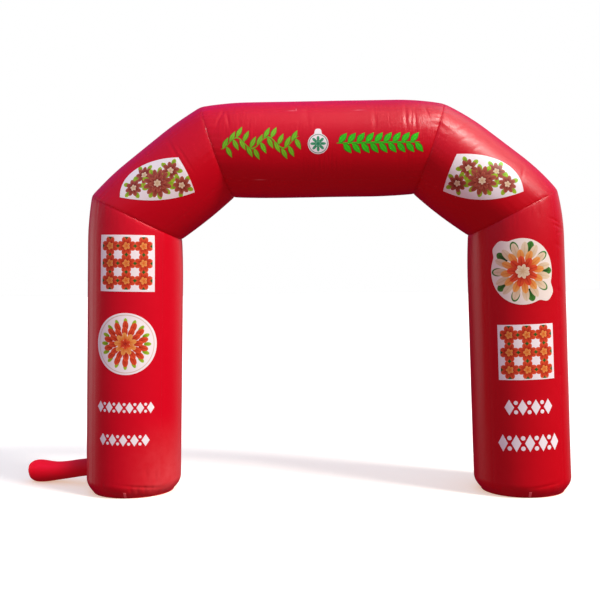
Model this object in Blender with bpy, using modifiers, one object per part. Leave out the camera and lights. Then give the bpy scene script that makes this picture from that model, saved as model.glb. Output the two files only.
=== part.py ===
"""Inflatable arch: five mitred tubes of coated fabric on two round feet, with an air sleeve.

The tubes are open shells round one shared air space. Their centre line is a chain of six
corners in the XZ plane, and each tube ends on the mitre planes of its two corners. A place
on a tube is given by how far along the centre line it lies and by its angle round the tube:
0 degrees is the side that faces away from the passage, and 90 degrees is the front, -Y.
"""
import math
from collections import namedtuple

import bmesh
import bpy
from mathutils import Matrix, Vector

# Cloth and clearances, in metres.
WALL = 0.0015            # coated fabric of the tubes and the sleeve
BASE = 0.0020            # heavier fabric of the discs under the feet
GAP = 0.0003             # between pieces that meet
OVERRUN = 0.012          # how far a tube is made past its mitre before it is cut back
MITRE_BLOCK = 4.0        # side of the block that cuts a tube off, in tube radii
MERGE = 0.00001          # points closer than this are one

# Facets: columns round a tube, and its rings near a seam as shares of the seam's reach.
COLUMNS = 32
SEAM_RINGS = (0.0, 0.13, 0.36, 0.75)
RING_STEP = 0.75         # longest plain stretch between two rings
SLEEVE_COLUMNS = 12

# The corners of the centre line. The arch is the same on both sides, but for its sewing.
# Pressure draws the cloth in at each seam: by "outer" on the side away from the passage, by
# "inner" on the passage side, fading out within "reach". Gathers are the shallow waves that
# the sewing leaves round the seam, "depth" deep.
FOOT_X = 1.841
KNEE_X, KNEE_Z = 1.772, 2.593
HIP_X, HIP_Z = 0.991, 3.199
Corner = namedtuple("Corner", "x z radius outer inner reach gathers depth turn")
CORNERS = {
    "foot_left": Corner(-FOOT_X, 0.0, 0.444, 0.068, 0.068, 0.13, 11, 0.009, 40.0),
    "knee_left": Corner(-KNEE_X, KNEE_Z, 0.446, 0.036, 0.010, 0.45, 5, 0.004, 0.0),
    "hip_left": Corner(-HIP_X, HIP_Z, 0.446, 0.033, 0.012, 0.45, 6, 0.005, 30.0),
    "hip_right": Corner(HIP_X, HIP_Z, 0.444, 0.044, 0.012, 0.45, 7, 0.006, 10.0),
    "knee_right": Corner(KNEE_X, KNEE_Z, 0.444, 0.048, 0.010, 0.45, 7, 0.006, 0.0),
    "foot_right": Corner(FOOT_X, 0.0, 0.446, 0.068, 0.068, 0.13, 9, 0.007, 10.0),
}
Tube = namedtuple("Tube", "name start end")
TUBES = (
    Tube("leg_left", "foot_left", "knee_left"),
    Tube("shoulder_left", "knee_left", "hip_left"),
    Tube("beam", "hip_left", "hip_right"),
    Tube("shoulder_right", "hip_right", "knee_right"),
    Tube("leg_right", "knee_right", "foot_right"),
)
DISC_MARGIN = 0.003      # seam allowance of a foot disc outside the leg's hem

# Flat panels sewn or stuck on the tubes: "across" runs round the tube and "height" along it
# before "roll" turns the panel. An outline is a rectangle, an oval, or a sail. Lugs push an
# oval's edge out by a share of its reach, at a turn from "across" to "height" in degrees. A
# sail has three curved sides, each from its corner to the next, pulled towards a third point,
# in metres to the right and up as the panel is seen.
Panel = namedtuple("Panel", "name tube along angle across height roll outline thick colour")
Lug = namedtuple("Lug", "turn half out")
Side = namedtuple("Side", "corner pull")
BOX = "box"
OVAL = ()
KNOB = (Lug(180.0, 17.0, 0.48),)
HANDLES = (Lug(-45.0, 15.0, 0.18), Lug(140.0, 15.0, 0.23))
SAIL_LEFT = (
    Side((-0.359, -0.141), (-0.395, 0.204)),
    Side((0.189, 0.200), (0.288, 0.049)),
    Side((0.332, -0.120), (-0.015, -0.235)),
)
SAIL_RIGHT = (
    Side((-0.346, -0.130), (-0.300, 0.043)),
    Side((-0.218, 0.209), (0.360, 0.230)),
    Side((0.376, -0.122), (0.020, -0.275)),
)
OVAL_SIDES, LUG_SIDES, SAIL_POINTS = 32, 48, 10
WHITE = (0.86, 0.84, 0.80)
PINK_WEBBING = (0.72, 0.16, 0.20)
PRINT = 0.001            # thickness of a print panel
TAB = 0.003              # thickness of an anchor tab, doubled webbing
LEVEL_LEFT = -math.degrees(math.atan2(HIP_Z - KNEE_Z, KNEE_X - HIP_X))
LEVEL_RIGHT = -LEVEL_LEFT
PANELS = (
    Panel("print_square_left", "leg_left", 2.156, 91.1, 0.520, 0.512, 0.0, BOX, PRINT, WHITE),
    Panel("print_round_left", "leg_left", 1.426, 90.7, 0.576, 0.562, 0.0, OVAL, PRINT, WHITE),
    Panel("print_oval_left", "shoulder_left", 0.420, 82.0, 0.400, 0.691, LEVEL_LEFT, SAIL_LEFT,
          PRINT, WHITE),
    Panel("medallion", "beam", 0.957, 90.2, 0.184, 0.184, 0.0, KNOB, PRINT, WHITE),
    Panel("print_oval_right", "shoulder_right", 0.529, 89.6, 0.410, 0.722, LEVEL_RIGHT, SAIL_RIGHT,
          PRINT, WHITE),
    Panel("print_round_right", "leg_right", 0.553, 92.6, 0.570, 0.590, 0.0, HANDLES, PRINT, WHITE),
    Panel("print_square_right", "leg_right", 1.272, 90.4, 0.517, 0.494, 0.0, BOX, PRINT, WHITE),
    Panel("anchor_tab_left", "leg_left", 0.036, 90.5, 0.028, 0.055, 0.0, BOX, TAB, PINK_WEBBING),
    Panel("anchor_tab_right", "leg_right", 2.558, 91.0, 0.028, 0.055, 0.0, BOX, TAB, PINK_WEBBING),
)
PANEL_REACH = 0.60       # from the arch's middle plane to the front end of a panel's cutter

# The air sleeve: it leaves the left leg low at the back and lies on the ground. "out" is
# measured from the leg's foot, away from the passage.
Station = namedtuple("Station", "out back height radius")
SLEEVE = (
    Station(0.300, 0.190, 0.180, 0.082),
    Station(0.440, 0.221, 0.170, 0.082),
    Station(0.570, 0.250, 0.153, 0.083),
    Station(0.690, 0.277, 0.131, 0.084),
    Station(0.800, 0.302, 0.114, 0.087),
    Station(0.890, 0.322, 0.106, 0.096),
    Station(0.970, 0.339, 0.104, 0.106),
    Station(1.040, 0.353, 0.104, 0.106),
    Station(1.088, 0.363, 0.103, 0.090),
    Station(1.113, 0.368, 0.100, 0.058),
    Station(1.122, 0.370, 0.098, 0.000),
)
AIR_HOLE = 0.070         # radius of the hole that lets air from the sleeve into the leg
AIR_HOLE_LENGTH = 0.30   # of the rod that cuts it
AIR_HOLE_SHIFT = 0.075   # from the sleeve's first station to the rod's middle

RED = (0.56, 0.004, 0.012)
SATIN = 0.38
MATT = 0.60


def corner_point(name):
    """Return a corner's place in the middle plane of the arch."""
    corner = CORNERS[name]
    return Vector((corner.x, 0.0, corner.z))


def direction(tube):
    """Return the unit vector along a tube's centre line."""
    return (corner_point(tube.end) - corner_point(tube.start)).normalized()


def outward(tube):
    """Return the unit vector across a tube, away from the passage."""
    along = direction(tube)
    return Vector((-along.z, 0.0, along.x))


def mitre_normal(name):
    """Return the normal of a corner's cutting plane, pointing the way the tubes run."""
    before = [direction(tube) for tube in TUBES if tube.end == name]
    after = [direction(tube) for tube in TUBES if tube.start == name]
    if before and after:
        return (before[0] + after[0]).normalized()
    return Vector((0.0, 0.0, 1.0 if after else -1.0))


def draw_in(corner, angle):
    """Return how far a seam draws the cloth in at an angle round the tube."""
    side = 0.5 + 0.5 * math.cos(angle)
    even = corner.inner + (corner.outer - corner.inner) * side
    wave = 0.5 - 0.5 * math.cos(corner.gathers * angle + math.radians(corner.turn))
    return even + corner.depth * wave


def mitre_shift(tube, name, angle):
    """Return how far past a corner the mitre plane cuts the tube at an angle round it."""
    corner = CORNERS[name]
    normal = mitre_normal(name)
    side = (corner.radius - draw_in(corner, angle)) * math.cos(angle)
    return -side * outward(tube).dot(normal) / direction(tube).dot(normal)


def fade(distance, reach):
    """Return 1 at a seam, falling smoothly to 0 where its pull ends."""
    return max(0.0, 1.0 - max(0.0, distance) / reach) ** 2


def tube_ends(tube, angle):
    """Return where a tube starts and ends along its centre line, at an angle round it."""
    length = (corner_point(tube.end) - corner_point(tube.start)).length
    return mitre_shift(tube, tube.start, angle), length + mitre_shift(tube, tube.end, angle)


def surface_point(tube, along, angle):
    """Return a point of a tube's outer surface."""
    first, last = CORNERS[tube.start], CORNERS[tube.end]
    begin, finish = tube_ends(tube, angle)
    share = (along - begin) / (finish - begin)
    radius = first.radius + (last.radius - first.radius) * share
    radius -= draw_in(first, angle) * fade(along - begin, first.reach)
    radius -= draw_in(last, angle) * fade(finish - along, last.reach)
    centre = corner_point(tube.start) + direction(tube) * along
    front = Vector((0.0, -1.0, 0.0))
    return centre + outward(tube) * radius * math.cos(angle) + front * radius * math.sin(angle)


def ring_positions(tube, angle):
    """Return where a tube's rings cross an angle, from past one mitre to past the other."""
    first, last = CORNERS[tube.start], CORNERS[tube.end]
    begin, finish = tube_ends(tube, angle)
    near = [begin + share * first.reach for share in SEAM_RINGS]
    far = [finish - share * last.reach for share in reversed(SEAM_RINGS)]
    length = (corner_point(tube.end) - corner_point(tube.start)).length
    plain = length - SEAM_RINGS[-1] * (first.reach + last.reach)
    steps = max(1, math.ceil(plain / RING_STEP))
    middle = [near[-1] + (far[0] - near[-1]) * step / steps for step in range(1, steps)]
    return [begin - OVERRUN] + near[1:] + middle + far[:-1] + [finish + OVERRUN]


def new_object(name, mesh, collection, parent):
    """Link a mesh into a collection under the arch's own empty."""
    obj = bpy.data.objects.new(name, mesh)
    collection.objects.link(obj)
    obj.parent = parent
    return obj


def finish_with(obj, colour, roughness):
    """Give an object its own plain material."""
    material = bpy.data.materials.new(obj.name)
    material.use_nodes = True
    shader = material.node_tree.nodes["Principled BSDF"]
    shader.inputs["Base Color"].default_value = (*colour, 1.0)
    shader.inputs["Roughness"].default_value = roughness
    obj.data.materials.append(material)


def rolled_mesh(name, columns, rows, place):
    """Roll a flat grid into a tube: place(column, row) gives each point, and column 0 is the join.

    The faces are made triangles here, so that whatever lies on the surface has the same facets.
    """
    bm = bmesh.new()
    bmesh.ops.create_grid(bm, x_segments=columns, y_segments=rows, size=1.0)
    for vertex in bm.verts:
        column = round((vertex.co.x + 1.0) / 2.0 * columns)
        row = round((vertex.co.y + 1.0) / 2.0 * rows)
        vertex.co = place(column % columns, row)
    bmesh.ops.remove_doubles(bm, verts=bm.verts[:], dist=MERGE)
    bmesh.ops.triangulate(bm, faces=bm.faces[:])
    mesh = bpy.data.meshes.new(name)
    bm.to_mesh(mesh)
    bm.free()
    mesh.shade_smooth()
    return mesh


def tube_skin(tube):
    """Return the open outer surface of a tube, longer than it by the overrun at each end."""
    def angle_of(column):
        return math.tau * column / COLUMNS - math.pi / 2.0

    rings = [ring_positions(tube, angle_of(column)) for column in range(COLUMNS)]

    def place(column, row):
        return surface_point(tube, rings[column][row], angle_of(column))

    return rolled_mesh(tube.name, COLUMNS, len(rings[0]) - 1, place)


def add_wall(obj, thickness, outwards=False):
    """Give an open surface its thickness, inwards unless told otherwise."""
    solidify = obj.modifiers.new("cloth", "SOLIDIFY")
    solidify.thickness = thickness
    solidify.offset = 1.0 if outwards else -1.0


def combine(obj, cutter, operation):
    """Cut or intersect an object with a cutter."""
    boolean = obj.modifiers.new(cutter.name, "BOOLEAN")
    boolean.operation = operation
    boolean.solver = "EXACT"
    boolean.object = cutter


def hide_cutter(obj):
    """Mark an object as a cutter, which isn't part of the arch."""
    obj.display_type = "WIRE"
    obj.hide_render = True


def mitre_block(tube, name, cutters, parent):
    """Make the block that cuts a tube off at one of its corners."""
    size = MITRE_BLOCK * CORNERS[name].radius
    bm = bmesh.new()
    bmesh.ops.create_cube(bm, size=size, matrix=Matrix.Translation((0.0, 0.0, size / 2.0)))
    mesh = bpy.data.meshes.new("block")
    bm.to_mesh(mesh)
    bm.free()
    block = new_object(f"cut_{tube.name}_{name}", mesh, cutters, parent)
    away = mitre_normal(name) if name == tube.end else -mitre_normal(name)
    held_back = BASE + GAP if name.startswith("foot") else GAP / 2.0
    block.rotation_euler = away.to_track_quat("Z", "Y").to_euler()
    block.location = corner_point(name) - away * held_back
    hide_cutter(block)
    return block


def sail_outline(sides):
    """Return a sail's outline as pairs of across and height. Seen upright, across runs down."""
    points = []
    for index, side in enumerate(sides):
        after = sides[(index + 1) % len(sides)].corner
        for step in range(SAIL_POINTS):
            part = step / SAIL_POINTS
            shares = ((1.0 - part) ** 2, 2.0 * part * (1.0 - part), part ** 2)
            ends = (side.corner, side.pull, after)
            right = sum(share * end[0] for share, end in zip(shares, ends))
            up = sum(share * end[1] for share, end in zip(shares, ends))
            points.append((-up, right))
    return points


def oval_outline(panel):
    """Return an oval's outline as pairs of across and height, pushed out where it has lugs."""
    count = LUG_SIDES if panel.outline else OVAL_SIDES
    points = []
    for index in range(count):
        turn = 360.0 * (index + 0.5) / count
        reach = 0.5
        for lug in panel.outline:
            away = (turn - lug.turn + 180.0) % 360.0 - 180.0
            reach += 0.5 * lug.out * math.exp(-(away / lug.half) ** 4)
        points.append((panel.across * reach * math.cos(math.radians(turn)),
                       panel.height * reach * math.sin(math.radians(turn))))
    return points


def flat_outline(panel):
    """Return a panel's outline as pairs of across and height, from the panel's middle."""
    if panel.outline == BOX:
        half_across, half_height = panel.across / 2.0, panel.height / 2.0
        return [(half_across, half_height), (-half_across, half_height),
                (-half_across, -half_height), (half_across, -half_height)]
    if panel.outline in (SAIL_LEFT, SAIL_RIGHT):
        return sail_outline(panel.outline)
    return oval_outline(panel)


def panel_outline(panel, tube):
    """Return a panel's outline wrapped on its tube and seen from the front, in the XZ plane."""
    radius = (CORNERS[tube.start].radius + CORNERS[tube.end].radius) / 2.0
    roll = math.radians(panel.roll)
    points = []
    for across, height in flat_outline(panel):
        flat_across = across * math.cos(roll) - height * math.sin(roll)
        flat_along = across * math.sin(roll) + height * math.cos(roll)
        angle = math.radians(panel.angle) + flat_across / radius
        point = corner_point(tube.start) + direction(tube) * (panel.along + flat_along)
        points.append(point + outward(tube) * radius * math.cos(angle))
    return points


def panel_cutter(panel, tube, cutters, parent):
    """Make the prism, from the arch's middle plane to its front, that a panel is cut with."""
    outline = panel_outline(panel, tube)
    bm = bmesh.new()
    ring = bmesh.ops.create_circle(bm, cap_ends=True, segments=len(outline), radius=1.0)["verts"]
    for vertex, point in zip(ring, outline):
        vertex.co = point
    front = bmesh.ops.extrude_face_region(bm, geom=bm.faces[:])["geom"]
    moved = [item for item in front if isinstance(item, bmesh.types.BMVert)]
    bmesh.ops.translate(bm, verts=moved, vec=(0.0, -PANEL_REACH, 0.0))
    bmesh.ops.recalc_face_normals(bm, faces=bm.faces[:])
    mesh = bpy.data.meshes.new("prism")
    bm.to_mesh(mesh)
    bm.free()
    cutter = new_object(f"cut_{panel.name}", mesh, cutters, parent)
    hide_cutter(cutter)
    return cutter


def make_panel(panel, skins, pieces, cutters, parent):
    """Make a panel that lies on its tube, a gap above the cloth."""
    tube = next(item for item in TUBES if item.name == panel.tube)
    obj = new_object(panel.name, skins[tube.name].copy(), pieces, parent)
    obj.data.materials.clear()
    lift = obj.modifiers.new("lift", "DISPLACE")
    lift.mid_level = 0.0
    lift.strength = GAP
    add_wall(obj, panel.thick, outwards=True)
    combine(obj, panel_cutter(panel, tube, cutters, parent), "INTERSECT")
    finish_with(obj, panel.colour, MATT)


def make_tube(tube, pieces, cutters, parent):
    """Make one tube of the arch, cut on its two mitre planes."""
    obj = new_object(tube.name, tube_skin(tube), pieces, parent)
    add_wall(obj, WALL)
    for name in (tube.start, tube.end):
        combine(obj, mitre_block(tube, name, cutters, parent), "DIFFERENCE")
    finish_with(obj, RED, SATIN)
    return obj


def make_disc(name, pieces, parent):
    """Make the flat disc that closes a leg and lies on the ground."""
    corner = CORNERS[name]
    radius = corner.radius - corner.outer + DISC_MARGIN
    bm = bmesh.new()
    bmesh.ops.create_cone(
        bm, cap_ends=True, segments=COLUMNS, radius1=radius, radius2=radius, depth=BASE
    )
    mesh = bpy.data.meshes.new(name)
    bm.to_mesh(mesh)
    bm.free()
    disc = new_object(name.replace("foot", "base_disc"), mesh, pieces, parent)
    disc.location = corner_point(name) + Vector((0.0, 0.0, BASE / 2.0))
    finish_with(disc, RED, MATT)


def sleeve_centre(station):
    """Return the middle of the sleeve at one station."""
    foot = CORNERS["foot_left"]
    return Vector((foot.x - station.out, station.back, station.height))


def sleeve_skin():
    """Return the sleeve's outer surface, flat where it lies on the ground."""
    centres = [sleeve_centre(station) for station in SLEEVE]

    def place(column, row):
        before = centres[max(0, row - 1)]
        after = centres[min(len(centres) - 1, row + 1)]
        forward = (after - before).normalized()
        side = forward.cross(Vector((0.0, 0.0, 1.0))).normalized()
        over = side.cross(forward)
        angle = math.tau * column / SLEEVE_COLUMNS
        round_it = over * math.cos(angle) + side * math.sin(angle)
        point = centres[row] + round_it * SLEEVE[row].radius
        point.z = max(point.z, 0.0)
        return point

    return rolled_mesh("inlet_sleeve", SLEEVE_COLUMNS, len(SLEEVE) - 1, place)


def leg_envelope(leg, skins, cutters, parent):
    """Make the filled outer form of a leg, a gap larger, that the sleeve is cut back to."""
    bm = bmesh.new()
    bm.from_mesh(skins[leg.name])
    bmesh.ops.holes_fill(bm, edges=bm.edges[:], sides=0)
    for vertex in bm.verts:
        vertex.co += vertex.normal * GAP
    mesh = bpy.data.meshes.new("envelope")
    bm.to_mesh(mesh)
    bm.free()
    envelope = new_object("cut_leg_envelope", mesh, cutters, parent)
    hide_cutter(envelope)
    return envelope


def air_hole(cutters, parent):
    """Make the rod that cuts the air hole through the leg, along the sleeve's first stretch."""
    first, second = sleeve_centre(SLEEVE[0]), sleeve_centre(SLEEVE[1])
    bm = bmesh.new()
    bmesh.ops.create_cone(
        bm,
        cap_ends=True,
        segments=SLEEVE_COLUMNS,
        radius1=AIR_HOLE,
        radius2=AIR_HOLE,
        depth=AIR_HOLE_LENGTH,
    )
    mesh = bpy.data.meshes.new("rod")
    bm.to_mesh(mesh)
    bm.free()
    rod = new_object("cut_air_hole", mesh, cutters, parent)
    rod.rotation_euler = (second - first).to_track_quat("Z", "Y").to_euler()
    rod.location = first + (second - first).normalized() * AIR_HOLE_SHIFT
    hide_cutter(rod)
    return rod


def make_sleeve(leg, skins, pieces, cutters, parent):
    """Make the closed-ended sleeve that air is blown in through."""
    obj = new_object("inlet_sleeve", sleeve_skin(), pieces, parent)
    add_wall(obj, WALL)
    combine(obj, leg_envelope(leg, skins, cutters, parent), "DIFFERENCE")
    finish_with(obj, RED, SATIN)


def stand_on_origin(parent, pieces):
    """Move the whole arch so that its box is centred on the origin, standing on the ground."""
    bpy.context.view_layer.update()
    depsgraph = bpy.context.evaluated_depsgraph_get()
    points = []
    for obj in pieces.objects:
        evaluated = obj.evaluated_get(depsgraph)
        points += [evaluated.matrix_world @ Vector(corner) for corner in evaluated.bound_box]
    for axis in (0, 1):
        low = min(point[axis] for point in points)
        high = max(point[axis] for point in points)
        parent.location[axis] = -(low + high) / 2.0


def build():
    """Build the arch from an empty scene."""
    for obj in list(bpy.data.objects):
        bpy.data.objects.remove(obj, do_unlink=True)
    pieces = bpy.data.collections.new("inflatable_arch")
    cutters = bpy.data.collections.new("cutters")
    for collection in (pieces, cutters):
        bpy.context.scene.collection.children.link(collection)
    parent = bpy.data.objects.new("arch_frame", None)
    bpy.context.scene.collection.objects.link(parent)

    tubes = {tube.name: make_tube(tube, pieces, cutters, parent) for tube in TUBES}
    skins = {name: obj.data for name, obj in tubes.items()}
    for name in ("foot_left", "foot_right"):
        make_disc(name, pieces, parent)
    make_sleeve(TUBES[0], skins, pieces, cutters, parent)
    combine(tubes["leg_left"], air_hole(cutters, parent), "DIFFERENCE")
    for panel in PANELS:
        make_panel(panel, skins, pieces, cutters, parent)
    stand_on_origin(parent, pieces)


build()
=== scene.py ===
# %% [markdown]
# # An inflatable entrance arch
# The real thing is a bag of thin coated nylon that a blower keeps full of air. Five straight
# tubes are sewn end to end on slanting cuts, like the mitred corners of a picture frame: two
# legs, two shoulders and a beam. Prints are stuck on the front, a cloth disc closes each foot,
# and air comes in through a sleeve low at the back of one leg.
#
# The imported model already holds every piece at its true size, so the lesson starts by loading
# it. Each piece below is a finer one that stands for one of its plain solids.

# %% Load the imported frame
import math
from collections import namedtuple

import bmesh
import bpy
from mathutils import Matrix, Vector


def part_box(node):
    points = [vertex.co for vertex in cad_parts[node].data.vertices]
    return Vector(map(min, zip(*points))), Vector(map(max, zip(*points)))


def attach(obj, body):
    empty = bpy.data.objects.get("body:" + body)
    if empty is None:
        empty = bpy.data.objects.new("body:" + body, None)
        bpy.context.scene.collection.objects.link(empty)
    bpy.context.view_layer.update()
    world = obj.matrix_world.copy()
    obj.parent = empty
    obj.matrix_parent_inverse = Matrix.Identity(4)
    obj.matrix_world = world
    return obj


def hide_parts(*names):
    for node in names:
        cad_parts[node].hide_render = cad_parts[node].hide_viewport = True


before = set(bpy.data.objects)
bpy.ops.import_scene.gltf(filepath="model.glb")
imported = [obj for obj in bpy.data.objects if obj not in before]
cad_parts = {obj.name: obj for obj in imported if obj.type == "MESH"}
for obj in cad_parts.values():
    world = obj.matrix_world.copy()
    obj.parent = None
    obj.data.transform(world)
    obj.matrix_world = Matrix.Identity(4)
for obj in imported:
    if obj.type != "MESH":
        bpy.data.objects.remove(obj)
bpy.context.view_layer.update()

print("nodes:", ", ".join(sorted(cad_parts)))

# %% [markdown]
# ## The centre line
# A tube's cloth can be described by two numbers: how far along the centre line a point lies,
# and its angle round the tube. The centre line is a chain of six corners, so a short table of
# corners and another of tubes are all the driving sizes there are. At each corner the sewing
# draws the cloth in, more on the outer side of the bend than inside it. Angle 0 is the side
# away from the passage, and 90 degrees is the front.

# %% Corners and tubes
# At a corner, outer and inner say how far the sewing draws the cloth in on either side of the
# bend, reach how far along the tube that is felt, and gathers, depth and turn the seam's wave.
Corner = namedtuple("Corner", "x z radius outer inner reach gathers depth turn seed")
FOOT_X = 1.841
KNEE_X, KNEE_Z = 1.772, 2.593
HIP_X, HIP_Z = 0.991, 3.199
CORNERS = {
    "foot_left": Corner(-FOOT_X, 0.0, 0.444, 0.068, 0.068, 0.13, 11, 0.009, 40.0, 3.0),
    "knee_left": Corner(-KNEE_X, KNEE_Z, 0.446, 0.036, 0.010, 0.45, 5, 0.004, 0.0, 11.0),
    "hip_left": Corner(-HIP_X, HIP_Z, 0.446, 0.033, 0.012, 0.45, 6, 0.005, 30.0, 17.0),
    "hip_right": Corner(HIP_X, HIP_Z, 0.444, 0.044, 0.012, 0.45, 7, 0.006, 10.0, 23.0),
    "knee_right": Corner(KNEE_X, KNEE_Z, 0.444, 0.048, 0.010, 0.45, 7, 0.006, 0.0, 29.0),
    "foot_right": Corner(FOOT_X, 0.0, 0.446, 0.068, 0.068, 0.13, 9, 0.007, 10.0, 41.0),
}
Tube = namedtuple("Tube", "name start end rows")
TUBES = {
    "leg_left": Tube("leg_left", "foot_left", "knee_left", 230),
    "shoulder_left": Tube("shoulder_left", "knee_left", "hip_left", 120),
    "beam": Tube("beam", "hip_left", "hip_right", 180),
    "shoulder_right": Tube("shoulder_right", "hip_right", "knee_right", 120),
    "leg_right": Tube("leg_right", "knee_right", "foot_right", 230),
}


def middle(node):
    """Return the middle of a node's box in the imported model."""
    low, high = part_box(node)
    return (Vector(low) + Vector(high)) / 2.0


ARCH = (middle("base_disc_left") + middle("base_disc_right")) / 2.0
ARCH.z = 0.0
BASE_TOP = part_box("base_disc_left")[1][2]
print("the arch's own middle stands at", [round(value, 4) for value in ARCH])

# %% [markdown]
# ## Sums written as nodes
# Both the shape of the cloth and the patterns on it are formulas. A formula in a node tree is
# a long row of Math nodes, which is slow to wire by hand. This small class stands for one
# number in a tree: adding or multiplying two of them makes the Math node and the links. It
# works in a Geometry Nodes tree and in a material alike, since both use the same Math node.

# %% A number in a node tree
class Number:
    """A number that a node tree works out."""

    def __init__(self, tree, socket):
        self.tree = tree
        self.socket = socket

    def sum_with(self, operation, *items):
        """Return the result of a Math node fed with these items, in order."""
        node = self.tree.nodes.new("ShaderNodeMath")
        node.operation = operation
        for index, item in enumerate(items):
            feed(self.tree, node.inputs[index], item)
        return Number(self.tree, node.outputs[0])

    def __add__(self, other):
        return self.sum_with("ADD", self, other)

    def __sub__(self, other):
        return self.sum_with("SUBTRACT", self, other)

    def __rsub__(self, other):
        return self.sum_with("SUBTRACT", other, self)

    def __mul__(self, other):
        return self.sum_with("MULTIPLY", self, other)

    def __truediv__(self, other):
        return self.sum_with("DIVIDE", self, other)

    def __neg__(self):
        return self.sum_with("MULTIPLY", self, -1.0)


def feed(tree, socket, item):
    """Link a number or a socket to an input, or set the input to a plain value."""
    if isinstance(item, Number):
        tree.links.new(item.socket, socket)
    elif isinstance(item, bpy.types.NodeSocket):
        tree.links.new(item, socket)
    else:
        socket.default_value = item


print("a Number adds, takes away, multiplies and divides inside any node tree")

# %% Curves and limits of a number
def cos(value):
    return value.sum_with("COSINE", value)


def sin(value):
    return value.sum_with("SINE", value)


def exp(value):
    return value.sum_with("EXPONENT", value)


def size_of(value):
    return value.sum_with("ABSOLUTE", value)


def root(value):
    return value.sum_with("SQRT", value)


def rest_of(value):
    return value.sum_with("FRACT", value)


def turn_of(y, x):
    return x.sum_with("ARCTAN2", y, x)


def larger(value, other):
    return value.sum_with("MAXIMUM", value, other)


def smaller(value, other):
    return value.sum_with("MINIMUM", value, other)


def square(value):
    return value * value


def clamped(value):
    """Return the value, held between 0 and 1."""
    return smaller(larger(value, 0.0), 1.0)


def hump(value, width):
    """Return 1 where value is 0, falling off like a bell of that half width."""
    return exp(-square(value / width))


def step_up(value, low, high):
    """Return 0 below low and 1 above high, with a smooth slope between."""
    node = value.tree.nodes.new("ShaderNodeMapRange")
    node.interpolation_type = "SMOOTHSTEP"
    feed(value.tree, node.inputs["Value"], value)
    feed(value.tree, node.inputs["From Min"], low)
    feed(value.tree, node.inputs["From Max"], high)
    return Number(value.tree, node.outputs[0])


print("and it bends: a hump, a step, a wave, and a hold between two limits")

# %% Vectors, noise and blended colours
def vector(tree, x, y, z):
    """Return a vector socket made of three numbers."""
    node = tree.nodes.new("ShaderNodeCombineXYZ")
    for socket, item in zip(node.inputs, (x, y, z)):
        feed(tree, socket, item)
    return node.outputs[0]


def parts_of(tree, socket):
    """Return the three numbers in a vector socket."""
    node = tree.nodes.new("ShaderNodeSeparateXYZ")
    tree.links.new(socket, node.inputs[0])
    return [Number(tree, output) for output in node.outputs]


def noise(tree, place, seed, scale=1.0, detail=2.0):
    """Return smooth noise from -1 to 1 at a place. The seed picks the pattern."""
    node = tree.nodes.new("ShaderNodeTexNoise")
    node.noise_dimensions = "4D"
    tree.links.new(place, node.inputs["Vector"])
    feed(tree, node.inputs["W"], seed)
    node.inputs["Scale"].default_value = scale
    node.inputs["Detail"].default_value = detail
    return (Number(tree, node.outputs[0]) - 0.5) * 2.0


def point(tree):
    """Return the three numbers that tell where each point of a mesh lies."""
    return parts_of(tree, tree.nodes.new("GeometryNodeInputPosition").outputs[0])


def blend(tree, under, over, share):
    """Return the colour under, covered with the colour over by a share."""
    node = tree.nodes.new("ShaderNodeMix")
    node.data_type = "RGBA"
    feed(tree, node.inputs["Factor"], share)
    feed(tree, node.inputs["A"], under)
    feed(tree, node.inputs["B"], over)
    return node.outputs["Result"]


print("numbers join into a place, a place gives noise, and a number mixes two colours")

# %% [markdown]
# ## Floor, skies and lamps
# A pale floor and a white surround keep the eye on the cloth. The floor is left out of the
# mirrored and bounced light, because a white floor would fill the shaded undersides.
#
# Satin cloth shows its shape by what it mirrors, so the surround has two skies, which the Light
# Path node tells apart. One only lights: it is blue overhead, pale near the horizon and a dim
# red below, as the cloth bounces it. The other is seen by glossy rays alone. It is a dark
# crimson room with bright things in it: one broad glare and two tight ones where the lamps
# are, a pale wall behind that rims the legs, and a cool panel high at the right.
#
# The main lamp is a wide warm sun at the right. It casts light but is not mirrored, since its
# own image would lay a haze over all the lit cloth. A small pink lamp is linked to the air
# sleeve, so that it lights nothing else.

# %% Floor
FLOOR_SIDE = 120.0
FLOOR_WHITE = (0.90, 0.88, 0.86, 1.0)
FLOOR_GLOW = (0.48, 0.40, 0.27, 1.0)


def add_floor():
    """Lay the pale floor, with a soft warm glow of its own."""
    bm = bmesh.new()
    bmesh.ops.create_grid(bm, x_segments=1, y_segments=1, size=FLOOR_SIDE / 2.0)
    mesh = bpy.data.meshes.new("floor")
    bm.to_mesh(mesh)
    bm.free()
    floor = bpy.data.objects.new("floor", mesh)
    bpy.context.scene.collection.objects.link(floor)
    material = bpy.data.materials.new("floor_paint")
    material.use_nodes = True
    shader = material.node_tree.nodes["Principled BSDF"]
    shader.inputs["Base Color"].default_value = FLOOR_WHITE
    shader.inputs["Roughness"].default_value = 0.9
    shader.inputs["Specular IOR Level"].default_value = 0.1
    shader.inputs["Emission Color"].default_value = FLOOR_GLOW
    shader.inputs["Emission Strength"].default_value = 1.0
    mesh.materials.append(material)
    floor.visible_diffuse = False
    floor.visible_glossy = False


add_floor()
print("a floor", FLOOR_SIDE, "m wide")

# %% Two skies
SKY_LOW = (0.72, 0.70, 0.77, 1.0)
SKY_TOP = (0.335, 0.45, 0.72, 1.0)
GROUND = (0.36, 0.14, 0.14, 1.0)
GLOSS_LOW = (0.60, 0.05, 0.26, 1.0)
GLOSS_TOP = (0.25, 0.05, 0.45, 1.0)
GLOSS_GROUND = (0.16, 0.00, 0.03, 1.0)
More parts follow.
